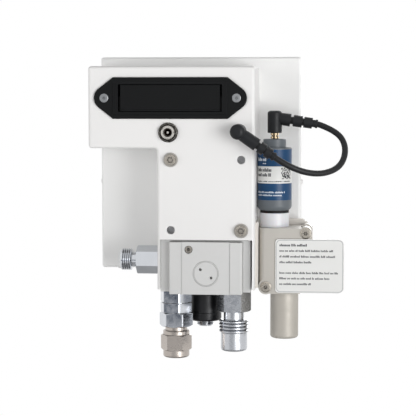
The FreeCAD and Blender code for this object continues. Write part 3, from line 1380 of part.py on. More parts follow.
def sensor_bracket():
    """A folded angle: one leg on the cheek, the other behind the sensor block with a sloped corner."""
    x0 = COVER_RIGHT
    back = BLOCK_FRONT + BLOCK_DEPTH
    side = box(x0, x0 + BRACKET_T, BRACKET_FRONT, back + BRACKET_T, BRACKET_BOTTOM, BRACKET_TOP)
    x1 = LUG_X + BRACKET_REACH
    outline = [
        (x0, BRACKET_TOP),
        (x1 - BRACKET_CLIP, BRACKET_TOP),
        (x1, BRACKET_TOP - BRACKET_CLIP_DROP),
        (x1, BRACKET_SLOPE_START),
        (BLOCK_RIGHT - BRACKET_INSET, BRACKET_SLOPE_END),
        (BLOCK_RIGHT - BRACKET_INSET, BRACKET_BOTTOM),
        (x0, BRACKET_BOTTOM),
    ]
    angle = side.fuse(plate(outline, back, back + BRACKET_T)).removeSplitter()
    outer = edges_along(angle, v(0, 0, 1), lambda p: p.x < x0 + 0.01 and p.y > back)
    angle = angle.makeFillet(2.2, outer)
    for y, z in bracket_screw_places():
        angle = angle.cut(rod(BRACKET_SCREW_R + CLEAR_HOLE / 2, v(x0 - 1, y, z), v(x0 + BRACKET_T + 1, y, z)))
        sink = turned(
            [(0, 0), (0, BRACKET_HEAD_R + 0.1), (1.7, BRACKET_SCREW_R + 0.2), (1.7, 0)],
            v(x0 + BRACKET_T, y, z),
            v(-1, 0, 0),
        )
        angle = angle.cut(sink)
    for x, z in block_screw_places():
        angle = angle.cut(rod(BLOCK_SCREW_R + THREAD_GAP, v(x, back - 1, z), v(x, back + BRACKET_T + 1, z)))
    return angle


def bracket_screws():
    screws = []
    for y, z in bracket_screw_places():
        out = v(COVER_RIGHT + BRACKET_T, y, z)
        head = turned([(0, 0), (0, BRACKET_HEAD_R), (1.6, BRACKET_SCREW_R), (1.6, 0)], out, v(-1, 0, 0))
        head = head.cut(hexagon(BRACKET_SOCKET, out, out.add(v(-1.0, 0, 0))))
        tip = v(MANIFOLD_RIGHT - BRACKET_SCREW_IN + 1, y, z)
        screws.append(head.fuse(rod(BRACKET_SCREW_R, out.add(v(-1.2, 0, 0)), tip)))
    return Part.makeCompound(screws)


def block_left():
    return COVER_RIGHT + BRACKET_T


def block_screw_places():
    return [(LUG_X, LUG_Z), (LOW_LUG_X, LOW_LUG_Z)]


def sensor_block():
    """The machined flow block: a rounded left edge, two screw lugs, and bores for tube and sensor."""
    x0, y0, y1 = block_left(), BLOCK_FRONT, BLOCK_FRONT + BLOCK_DEPTH
    body = box(x0, BLOCK_RIGHT, y0, y1, BLOCK_BOTTOM, BLOCK_TOP)
    left = edges_along(body, v(0, 0, 1), lambda p: p.x < x0 + 1 and p.y < y0 + 1)
    body = body.makeFillet(BLOCK_ROUND, left)
    body = body.makeFillet(2.0, edges_along(body, v(0, 0, 1), lambda p: p.x > BLOCK_RIGHT - 1))
    corner = box(x0 - 1, LOW_LUG_X, y0 - 1, y1 + 1, BLOCK_BOTTOM - 1, LOW_LUG_Z)
    low_lug = rod(LOW_LUG_X - x0, v(LOW_LUG_X, y0, LOW_LUG_Z), v(LOW_LUG_X, y1, LOW_LUG_Z))
    body = body.cut(corner).fuse(low_lug)
    for near, far in ((y0, y0 + LUG_DEPTH), (y1 - BACK_LUG_DEPTH, y1)):
        body = body.fuse(rod(LUG_R, v(LUG_X, near, LUG_Z), v(LUG_X, far, LUG_Z)))
        body = body.fuse(box(BLOCK_RIGHT - 3, LUG_X, near, far, LUG_Z - LUG_R, BLOCK_TOP))
    for x, z in block_screw_places():
        body = body.cut(rod(BLOCK_SCREW_R + CLEAR_HOLE / 2, v(x, y0 - 1, z), v(x, y1 + 1, z)))
    bores = [
        (BUSHING_STUB_R + THREAD_GAP, SENSOR_X, BLOCK_TOP - BUSHING_STUB, BLOCK_TOP + 1),
        (TUBE_R + THREAD_GAP, TUBE_X, BLOCK_BOTTOM - 1, BLOCK_BOTTOM + TUBE_SEAT),
        (SENSOR_PASSAGE_R, SENSOR_X, SENSOR_PASSAGE_Z, BLOCK_TOP),
        (TUBE_PASSAGE_R, TUBE_X, BLOCK_BOTTOM, TUBE_PASSAGE_Z),
    ]
    for radius, x, low, high in bores:
        body = body.cut(rod(radius, v(x, SENSOR_Y, low), v(x, SENSOR_Y, high)))
    return body


def block_screws():
    """Two long flanged screws with hexagon sockets that pull the block onto the bracket."""
    screws = []
    for x, z in block_screw_places():
        seat = v(x, BLOCK_FRONT, z)
        length = BLOCK_DEPTH + BRACKET_T
        head_r, head_h = BLOCK_HEAD_R, BLOCK_HEAD_H
        screw = socket_screw(BLOCK_SCREW_R, head_r, head_h, length, seat, v(0, 1, 0), BLOCK_SOCKET)
        t, r = BLOCK_WASHER_T, BLOCK_WASHER_R
        profile = [(0, 0), (0, BLOCK_HEAD_R), (t * 0.6, r), (t, r), (t, 0)]
        screws.append(screw.fuse(turned(profile, v(x, BLOCK_FRONT - t, z), v(0, 1, 0))))
    return Part.makeCompound(screws)


def label_plate():
    """A thin flat plate on the block's face that reaches out past it to the right."""
    y1 = BLOCK_FRONT
    sheet = box(PLATE_LEFT, PLATE_RIGHT, y1 - PLATE_T, y1, PLATE_BOTTOM, PLATE_TOP)
    right = edges_along(sheet, v(0, 1, 0), lambda p: p.x > PLATE_RIGHT - 1)
    sheet = sheet.makeFillet(PLATE_CORNER, right)
    left = edges_along(sheet, v(0, 1, 0), lambda p: p.x < PLATE_LEFT + 1)
    return sheet.makeFillet(PLATE_INNER_CORNER, left)


def flow_tube():
    """The tube to the breathing circuit: a plain sleeve with a rounded mouth and a tapered-size bore."""
    top = BLOCK_BOTTOM + TUBE_SEAT
    n = top - TUBE_BOTTOM
    r = TUBE_R
    profile = [(0, 0), (0, r), (n - 2.2, r), (n - 1.2, r - 0.3), (n - 0.4, r - 0.9), (n, r - 1.7), (n, 0)]
    tube = turned(profile, v(TUBE_X, SENSOR_Y, top), v(0, 0, -1))
    shelf = TUBE_BOTTOM + TUBE_BORE_LENGTH
    tube = tube.cut(rod(TUBE_BORE_R, v(TUBE_X, SENSOR_Y, TUBE_BOTTOM - 1), v(TUBE_X, SENSOR_Y, shelf)))
    return tube.cut(rod(TUBE_PASSAGE_R, v(TUBE_X, SENSOR_Y, TUBE_BOTTOM), v(TUBE_X, SENSOR_Y, top + 1)))


def bushing_top():
    return BLOCK_TOP + BUSHING_H


def sensor_bushing():
    low = v(SENSOR_X, SENSOR_Y, BLOCK_TOP - BUSHING_STUB)
    n = BUSHING_STUB + BUSHING_H
    r, stub, stub_r = BUSHING_R, BUSHING_STUB, BUSHING_STUB_R
    profile = [(0, 0), (0, stub_r), (stub, stub_r), (stub, r), (n - 0.6, r), (n, r - 0.6), (n, 0)]
    bush = turned(profile, low, v(0, 0, 1))
    return bush.cut(rod(SENSOR_THREAD_R + THREAD_GAP, low.add(v(0, 0, -1)), low.add(v(0, 0, n + 1))))


def sensor_base():
    return bushing_top() + SEAL_T


def sensor_seal_ring():
    z = bushing_top()
    low, high = v(SENSOR_X, SENSOR_Y, z), v(SENSOR_X, SENSOR_Y, z + SEAL_T)
    return ring(SEAL_R, SENSOR_THREAD_R + THREAD_GAP, low, high)


def oxygen_sensor():
    """The cell's moulded body: threaded stud, chamfered foot, a shallow land for the label, and a cap."""
    z0 = sensor_base()
    r = SENSOR_R
    s = SENSOR_STUD
    h = SENSOR_HEIGHT
    land = r - LABEL_T
    t, cap, end = SENSOR_THREAD_R, SENSOR_CAP_R, h + SENSOR_CAP_H
    profile = [(-s, 0), (-s, t - 0.6), (-s + 0.6, t), (0, t), (0, r - 2.2)]
    profile += [(1.0, r - 1.2), (2.4, r - 0.3), (3.4, r), (LABEL_LOW, r), (LABEL_LOW, land)]
    profile += [(LABEL_HIGH, land), (LABEL_HIGH, r), (h - 0.7, r), (h, r - 0.7), (h, cap)]
    profile += [(end - 0.5, cap), (end, cap - 0.5), (end, 0)]
    cell = turned(profile, v(SENSOR_X, SENSOR_Y, z0), v(0, 0, 1))
    top = z0 + h + SENSOR_CAP_H
    cell = cell.cut(rod(PIN_R + THREAD_GAP, v(SENSOR_X, SENSOR_Y, top - 14), v(SENSOR_X, SENSOR_Y, top + 1)))
    return cell.cut(rod(4.0, v(SENSOR_X, SENSOR_Y, z0 - s - 1), v(SENSOR_X, SENSOR_Y, z0 - 4)))


def sensor_label():
    """The printed wrap around the cell."""
    z = sensor_base()
    low, high = v(SENSOR_X, SENSOR_Y, z + LABEL_LOW + 0.05), v(SENSOR_X, SENSOR_Y, z + LABEL_HIGH - 0.05)
    return ring(SENSOR_R + 0.02, SENSOR_R - LABEL_T, low, high)


def sensor_top():
    return sensor_base() + SENSOR_HEIGHT + SENSOR_CAP_H


def plug_pins():
    """The plugs' metal: a pin with a knurled collar at the cell, and a plain pin at the cover."""
    z = sensor_top()
    c = PLUG_COLLAR_R
    d = PIN_IN
    profile = [(-d, 0), (-d, 1.0), (1 - d, PIN_R), (0.2, PIN_R), (0.2, c - 0.5), (0.7, c), (2.2, c)]
    profile += [(2.6, c - 0.7), (3.2, c - 0.7), (3.6, c), (PLUG_COLLAR_H, c), (PLUG_COLLAR_H, 0)]
    first = turned(profile, v(SENSOR_X, SENSOR_Y, z), v(0, 0, 1))
    start = v(SOCKET_X, PLUG_SEAT_Y, SOCKET_Z)
    second = turned([(0, 0), (0, PIN_R), (d + 2, PIN_R), (d + 3, 1.0), (d + 3, 0)], start, v(0, 1, 0))
    return Part.makeCompound([first, second])


def relief(origin, direction, relief_ribs):
    """A moulded strain relief: a thick first collar, then ribs on a thinner core, ending in a small ring."""
    core = RELIEF_CORE_R
    (start, end, radius), *ribs = relief_ribs
    profile = [(0, 0), (0, RELIEF_BASE_R), (start, radius), (end, radius), (end, core)]
    for start, end, radius in ribs:
        profile += [(start, core), (start, radius), (end, radius), (end, core)]
    tip, n = RELIEF_END_R, RELIEF_LENGTH
    profile += [(RELIEF_TIP, core), (RELIEF_TIP, tip), (n, tip), (n, 0)]
    return turned(profile, origin, direction)


def sensor_exit_direction():
    a = math.radians(SENSOR_EXIT_DROP)
    return v(math.cos(a), 0, -math.sin(a))


def housing_exit_direction():
    a = math.radians(HOUSING_EXIT_DROP)
    return v(math.cos(a), 0, -math.sin(a))


def sensor_exit_origin():
    return v(SENSOR_X, SENSOR_Y, sensor_top() + PLUG_COLLAR_H + SENSOR_EXIT_HEIGHT)


def sensor_plug():
    """The right-angled moulding on the cell: an upright barrel and its side exit."""
    n = PLUG_LENGTH
    r = PLUG_R_MOULD
    profile = [(0, 0), (0, r - 0.4), (0.4, r), (n - 2.0, r), (n - 0.8, r - 0.8), (n, r - 2.6), (n, 0)]
    barrel = turned(profile, v(SENSOR_X, SENSOR_Y, sensor_top() + PLUG_COLLAR_H), v(0, 0, 1))
    return barrel.fuse(relief(sensor_exit_origin(), sensor_exit_direction(), SENSOR_RIBS))


def housing_exit_origin():
    return v(SOCKET_X, PLUG_EXIT_Y, SOCKET_Z)


def housing_plug():
    """The same moulding, turned to plug into the cover's socket."""
    n = PLUG_LENGTH + SOCKET_PLUG_EXTRA
    r = PLUG_R_MOULD + SOCKET_PLUG_WIDER
    profile = [(0, 0), (0, r - 0.4), (0.4, r), (n - 3.6, r), (n - 2.0, r - 0.8), (n - 0.8, r - 2.2)]
    profile += [(n, r - 4.2), (n, 0)]
    barrel = turned(profile, v(SOCKET_X, PLUG_SEAT_Y, SOCKET_Z), v(0, -1, 0))
    return barrel.fuse(relief(housing_exit_origin(), housing_exit_direction(), HOUSING_RIBS))


def cable_route():
    """The points of the cable's loop, from the cover's plug round to the sensor's plug."""
    first = housing_exit_origin().add(housing_exit_direction() * RELIEF_LENGTH)
    last = sensor_exit_origin().add(sensor_exit_direction() * RELIEF_LENGTH)
    return [first, *[v(*corner) for corner in CABLE_CORNERS], last]


def rounded_path(points):
    """Straight runs joined by tangent arcs, each as large as its two runs allow; also returns the radii."""
    edges = []
    radii = []
    start = points[0]
    for i in range(1, len(points) - 1):
        before = points[i].sub(points[i - 1])
        after = points[i + 1].sub(points[i])
        shorter = min(before.Length, after.Length)
        u, w = before.normalize(), after.normalize()
        half = u.getAngle(w) / 2
        reach = 0.45 * shorter
        radii.append(reach / math.tan(half))
        enter = points[i].sub(u * reach)
        leave = points[i].add(w * reach)
        inward = w.sub(u).normalize()
        middle = points[i].add(inward * (radii[-1] / math.cos(half) - radii[-1]))
        edges.append(Part.LineSegment(start, enter).toShape())
        edges.append(Part.Arc(enter, middle, leave).toShape())
        start = leave
    edges.append(Part.LineSegment(start, points[-1]).toShape())
    return Part.Wire(edges), radii


def cable():
    path, radii = rounded_path(cable_route())
    print("cable radii", [round(r, 1) for r in radii], "length", round(path.Length, 1))
    points = cable_route()
    first = points[1].sub(points[0]).normalize()
    section = Part.Wire(Part.makeCircle(CABLE_R, points[0], first))
    tube = path.makePipeShell([section], True, False)
    expected = math.pi * CABLE_R ** 2 * path.Length
    print("cable volume", round(tube.Volume), "of", round(expected))
    return tube


NODES = {
    "rear_cover": rear_cover,
    "main_housing": main_housing,
    "housing_screws": housing_screws,
    "chassis_plate": chassis_plate,
    "front_panel": front_panel,
    "display_window": display_window,
    "display_module": display_module,
    "circuit_board": circuit_board,
    "board_screws": board_screws,
    "keypad_overlay": keypad_overlay,
    "dial_plate": dial_plate,
    "control_knob": control_knob,
    "knob_cap": knob_cap,
    "knob_screw": knob_screw,
    "valve_spindle": valve_spindle,
    "valve_bonnet": valve_bonnet,
    "valve_body": valve_body,
    "balance_spool": balance_spool,
    "balance_springs": balance_springs,
    "balance_cap": balance_cap,
    "manifold_gasket": manifold_gasket,
    "manifold_block": manifold_block,
    "manifold_plug": manifold_plug,
    "manifold_screw": manifold_screw,
    "mounting_screws": mounting_screws,
    "mounting_washers": mounting_washers,
    "side_outlet": side_outlet,
    "outlet_poppet": outlet_poppet,
    "outlet_spring": outlet_spring,
    "air_inlet_body": air_inlet_body,
    "air_inlet_nut": air_inlet_nut,
    "air_nipple": air_nipple,
    "air_swivel_nut": air_swivel_nut,
    "inlet_filters": inlet_filters,
    "oxygen_inlet": oxygen_inlet,
    "bleed_outlet": bleed_outlet,
    "bleed_collar": bleed_collar,
    "bleed_retaining_ring": bleed_retaining_ring,
    "battery_bezel": battery_bezel,
    "bezel_screws": bezel_screws,
    "battery_drawer": battery_drawer,
    "battery_cells": battery_cells,
    "battery_contacts": battery_contacts,
    "dc_jack": dc_jack,
    "dc_jack_nut": dc_jack_nut,
    "sensor_socket": sensor_socket,
    "sensor_bracket": sensor_bracket,
    "bracket_screws": bracket_screws,
    "sensor_block": sensor_block,
    "block_screws": block_screws,
    "label_plate": label_plate,
    "flow_tube": flow_tube,
    "sensor_bushing": sensor_bushing,
    "sensor_seal_ring": sensor_seal_ring,
    "oxygen_sensor": oxygen_sensor,
    "sensor_label": sensor_label,
    "plug_pins": plug_pins,
    "sensor_plug": sensor_plug,
    "housing_plug": housing_plug,
    "cable": cable,
}


def main():
    os.makedirs("parts", exist_ok=True)
    for name, make in NODES.items():
        save(name, make())
    print(len(NODES), "nodes")


main()
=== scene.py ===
import json
import math
import random
import bmesh
import bpy
from bpy.props import FloatProperty, FloatVectorProperty, PointerProperty
from mathutils import Matrix, Vector


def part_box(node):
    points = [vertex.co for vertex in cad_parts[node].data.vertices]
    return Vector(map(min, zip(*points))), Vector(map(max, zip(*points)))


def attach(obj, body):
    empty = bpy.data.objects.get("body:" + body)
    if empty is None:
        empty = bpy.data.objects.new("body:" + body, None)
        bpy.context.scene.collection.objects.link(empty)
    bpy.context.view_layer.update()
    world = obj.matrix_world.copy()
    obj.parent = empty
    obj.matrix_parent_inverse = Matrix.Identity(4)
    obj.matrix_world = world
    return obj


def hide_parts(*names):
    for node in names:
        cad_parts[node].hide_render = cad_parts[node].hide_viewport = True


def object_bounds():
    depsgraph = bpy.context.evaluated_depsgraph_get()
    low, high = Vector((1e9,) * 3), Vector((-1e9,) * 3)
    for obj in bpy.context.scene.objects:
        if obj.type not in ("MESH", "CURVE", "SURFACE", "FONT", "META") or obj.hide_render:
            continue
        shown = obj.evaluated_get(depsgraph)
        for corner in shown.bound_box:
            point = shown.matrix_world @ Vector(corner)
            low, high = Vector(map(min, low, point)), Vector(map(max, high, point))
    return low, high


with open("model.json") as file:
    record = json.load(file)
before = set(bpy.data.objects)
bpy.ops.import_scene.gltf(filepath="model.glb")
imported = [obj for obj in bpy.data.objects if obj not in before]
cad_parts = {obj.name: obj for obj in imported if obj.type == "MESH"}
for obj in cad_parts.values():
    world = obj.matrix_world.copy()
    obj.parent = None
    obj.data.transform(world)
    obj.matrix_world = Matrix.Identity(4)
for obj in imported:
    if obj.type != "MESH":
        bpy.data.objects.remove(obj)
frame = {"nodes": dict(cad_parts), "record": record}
CAD_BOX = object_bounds()

bl_info = {
    "name": "Air oxygen blender dressing",
    "version": (1, 0, 0),
    "blender": (4, 5, 0),
    "location": "View3D > Sidebar > Gas blender",
    "description": "Finishes, sensor cable, printed marks and stage for an air oxygen blender",
    "category": "Object",
}

MM = 0.001

# Where the sensor cable runs: the corner points of the part's own route, in metres.
CABLE_ROUTE = (
    (0.062453, -0.017, 0.034927),
    (0.0773, -0.0169, 0.0249),
    (0.1017, -0.0052, 0.0188),
    (0.1210, 0.0070, 0.0255),
    (0.1258, 0.0202, 0.0433),
    (0.1165, 0.0298, 0.0576),
    (0.099316, 0.034, 0.063403),
)


def linear(code):
    """An sRGB hex code as linear red, green and blue."""
    channels = [int(code[i:i + 2], 16) / 255 for i in (1, 3, 5)]
    return tuple(c / 12.92 if c <= 0.04045 else ((c + 0.055) / 1.055) ** 2.4 for c in channels)


def colour_setting(name, description, code):
    return FloatVectorProperty(name=name, description=description, default=linear(code),
                               subtype="COLOR", size=3, min=0, max=1)


def size_setting(name, description, default):
    return FloatProperty(name=name, description=description, default=default,
                         subtype="DISTANCE", unit="LENGTH", min=0)


class GasBlenderColours(bpy.types.PropertyGroup):
    """The colours that a user of the part would change."""
    case: colour_setting("Case", "Powder coat of the rear cover", "#EEEDEC")
    # Whiter than the case: painted light, a brighter-lit copy of the same powder coat.
    housing: colour_setting("Housing", "Powder coat of the front housing", "#F6F6F5")
    drawer: colour_setting("Drawer", "Moulded battery door and its bezel", "#0D0E0F")
    manifold: colour_setting("Manifold", "Blasted and anodised manifold block", "#D3D3D2")
    sensor_block: colour_setting("Sensor block", "Blasted block and breathing tube", "#C4C0B9")
    bracket: colour_setting("Bracket", "Bent plate that carries the sensor block", "#E4DFD8")
    chrome: colour_setting("Chrome", "Plated gas fittings", "#D3D6DB")
    swivel: colour_setting("Swivel", "Satin nickel swivel nut", "#BDB5AE")
    sensor: colour_setting("Sensor", "Moulded body of the oxygen sensor", "#666C71")
    stripe: colour_setting("Stripe", "Printed bands of the sensor's label", "#13426B")
    label: colour_setting("Label", "Bare stock of the printed labels", "#E9E9E7")
    cable: colour_setting("Cable", "Jacket of the sensor cable", "#131416")
    ink: colour_setting("Ink", "Dark printing on the labels", "#3A3C40")
    pale_ink: colour_setting("Pale ink", "Reversed printing on the sensor and the dial", "#DFE5EC")
    knob: colour_setting("Knob", "Moulded concentration knob", "#24262A")


class GasBlenderSizes(bpy.types.PropertyGroup):
    """The sizes that a user of the part would change."""
    cable: size_setting("Cable", "Diameter of the sensor cable", 0.0056)
    print_height: size_setting("Print", "How far printed ink stands off its label", 0.00006)
    floor_drop: size_setting("Floor drop", "Gap from the lowest fitting to the floor", 0.16)


def colours():
    return bpy.context.scene.gas_blender_colours


def sizes():
    return bpy.context.scene.gas_blender_sizes


# Surfaces

# A rounded edge's normal leans from the true one. These are the cosines where the painted edge wear
# and highlight starts and where it is full.
WEAR_AND_HIGHLIGHT_STARTS, WEAR_AND_HIGHLIGHT_IS_FULL = 0.985, 0.86
# How open a spot is to the room, from 0 to 1: where the painted shade of recesses is full, and where it
# ends.
PAINTED_SHADE_IS_FULL, PAINTED_SHADE_ENDS = 0.35, 0.85


def add(tree, kind, settings=None, inputs=None):
    """Adds one node. An input that is a pair starting with a node is linked to that node's output."""
    made = tree.nodes.new(kind)
    for key, value in (settings or {}).items():
        setattr(made, key, value)
    for key, value in (inputs or {}).items():
        if isinstance(value, tuple) and isinstance(value[0], bpy.types.Node):
            tree.links.new(value[0].outputs[value[1]], made.inputs[key])
        else:
            made.inputs[key].default_value = value
    return made


def rgba(colour):
    return (colour[0], colour[1], colour[2], 1.0)


def shade(colour, factor):
    return tuple(min(c * factor, 1.0) for c in colour)


def surface(name, colour, other=None, patch=35.0, rough=(0.4, 0.5), grain=2.0, depth=0.02,
            metal=0.0, wear_and_highlight=None, edge=0.4, stretch=(1, 1, 1), shader=None, painted_shade=None, recess=2.0):
    """A finish with drifting colour and gloss and a fine relief.

    Where an edge colour is given, rounded edges are lightened to it in patches, as painted wear and
    painted highlight; where a shade colour is given, recesses are darkened to it as painted shade.
    patch, grain, depth, edge and recess are millimetres, and stretch draws the grain along an axis.
    A noise's scale is 1000 over its size, because its places are in metres.
    """
    material = bpy.data.materials.new(name)
    material.use_nodes = True
    tree = material.node_tree
    tree.nodes.clear()
    place = add(tree, "ShaderNodeTexCoord")
    drift = add(tree, "ShaderNodeTexNoise", inputs={
        "Vector": (place, "Object"), "Scale": 1000 / patch, "Detail": 4.0, "Roughness": 0.6})
    tint = add(tree, "ShaderNodeMix", {"data_type": "RGBA"}, {
        0: (drift, "Fac"), 6: rgba(colour), 7: rgba(other or shade(colour, 0.93))})
    laid = add(tree, "ShaderNodeMapping", inputs={"Vector": (place, "Object"), "Scale": stretch})
    fine = add(tree, "ShaderNodeTexNoise", inputs={
        "Vector": (laid, "Vector"), "Scale": 1000 / grain, "Detail": 3.0, "Roughness": 0.55})
    gloss_noise = add(tree, "ShaderNodeTexNoise", inputs={
        "Vector": (laid, "Vector"), "Scale": 1000 / (grain * 6), "Detail": 5.0, "Roughness": 0.65})
    gloss = add(tree, "ShaderNodeMapRange", inputs={
        "Value": (gloss_noise, "Fac"), "From Min": 0.3, "From Max": 0.7,
        "To Min": rough[0], "To Max": rough[1]})
    relief = add(tree, "ShaderNodeBump", inputs={
        "Height": (fine, "Fac"), "Strength": 0.6, "Distance": depth * MM})
    principled = add(tree, "ShaderNodeBsdfPrincipled", inputs={
        "Base Color": (tint, 2), "Roughness": (gloss, "Result"), "Normal": (relief, "Normal"),
        "Metallic": metal})
    for key, value in (shader or {}).items():
        principled.inputs[key].default_value = value
    last = tint
    if painted_shade:
        # Painted shade: recesses and joints, where shade falls, are darkened to the shade colour.
        hollow = add(tree, "ShaderNodeAmbientOcclusion", {"samples": 6}, {
            "Distance": recess * MM})
        shade_share = add(tree, "ShaderNodeMapRange", inputs={
            "Value": (hollow, "AO"), "From Min": PAINTED_SHADE_IS_FULL, "From Max": PAINTED_SHADE_ENDS,
            "To Min": 1.0, "To Max": 0.0})
        last = add(tree, "ShaderNodeMix", {"data_type": "RGBA"}, {
            0: (shade_share, "Result"), 6: (tint, 2), 7: rgba(painted_shade)})
        tree.links.new(last.outputs[2], principled.inputs["Base Color"])
    if wear_and_highlight:
        # Painted wear and painted highlight: rounded edges are lightened in patches to the edge colour.
        rounded = add(tree, "ShaderNodeBevel", {"samples": 4}, {"Radius": edge * MM})
        true = add(tree, "ShaderNodeNewGeometry")
        same = add(tree, "ShaderNodeVectorMath", {"operation": "DOT_PRODUCT"}, {
            0: (rounded, "Normal"), 1: (true, "Normal")})
        sharp = add(tree, "ShaderNodeMapRange", inputs={
            "Value": (same, "Value"), "From Min": WEAR_AND_HIGHLIGHT_STARTS, "From Max": WEAR_AND_HIGHLIGHT_IS_FULL,
            "To Min": 0.0, "To Max": 1.0})
        wear_and_highlight_mask = add(tree, "ShaderNodeMath", {"operation": "MULTIPLY"}, {
            0: (sharp, "Result"), 1: (gloss_noise, "Fac")})
        edged = add(tree, "ShaderNodeMix", {"data_type": "RGBA"}, {
            0: (wear_and_highlight_mask, "Value"), 6: (last, 2), 7: rgba(wear_and_highlight)})
        tree.links.new(edged.outputs[2], principled.inputs["Base Color"])
    add(tree, "ShaderNodeOutputMaterial", inputs={"Surface": (principled, "BSDF")})
    return material


def banded_label():
    """Printed vinyl wrap: a white field between two bands of blue ink, with a thin ruled line."""
    low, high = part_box("sensor_label")
    material = surface("printed_vinyl_wrap", colours().label, shade(colours().label, 0.96),
                       patch=20, rough=(0.28, 0.4), grain=1.4, depth=0.01,
                       shader={"Specular IOR Level": 0.3})
    tree = material.node_tree
    principled = next(n for n in tree.nodes if n.type == "BSDF_PRINCIPLED")
    tint = next(n for n in tree.nodes if n.type == "MIX")
    place = add(tree, "ShaderNodeTexCoord")
    parts = add(tree, "ShaderNodeSeparateXYZ", inputs={0: (place, "Object")})
    height = add(tree, "ShaderNodeMapRange", inputs={
        "Value": (parts, "Z"), "From Min": low[2], "From Max": high[2], "To Min": 0.0, "To Max": 1.0})
    bands = add(tree, "ShaderNodeValToRGB", inputs={"Fac": (height, "Result")})
    ramp = bands.color_ramp
    ramp.interpolation = "CONSTANT"
    length = high[2] - low[2]
    ramp.elements[0].color = (1, 1, 1, 1)
    ramp.elements[1].position, ramp.elements[1].color = LABEL_LOWER_BAND / length, (0, 0, 0, 1)
    ramp.elements.new(LABEL_UPPER_BAND / length).color = (1, 1, 1, 1)
    inked = add(tree, "ShaderNodeMix", {"data_type": "RGBA"}, {
        0: (bands, "Color"), 6: (tint, 2), 7: rgba(colours().stripe)})
    tree.links.new(inked.outputs[2], principled.inputs["Base Color"])
    return material


# Heights in metres of the sensor label's lower band, and of where its upper band starts.
LABEL_LOWER_BAND = 0.0152
LABEL_UPPER_BAND = 0.0307


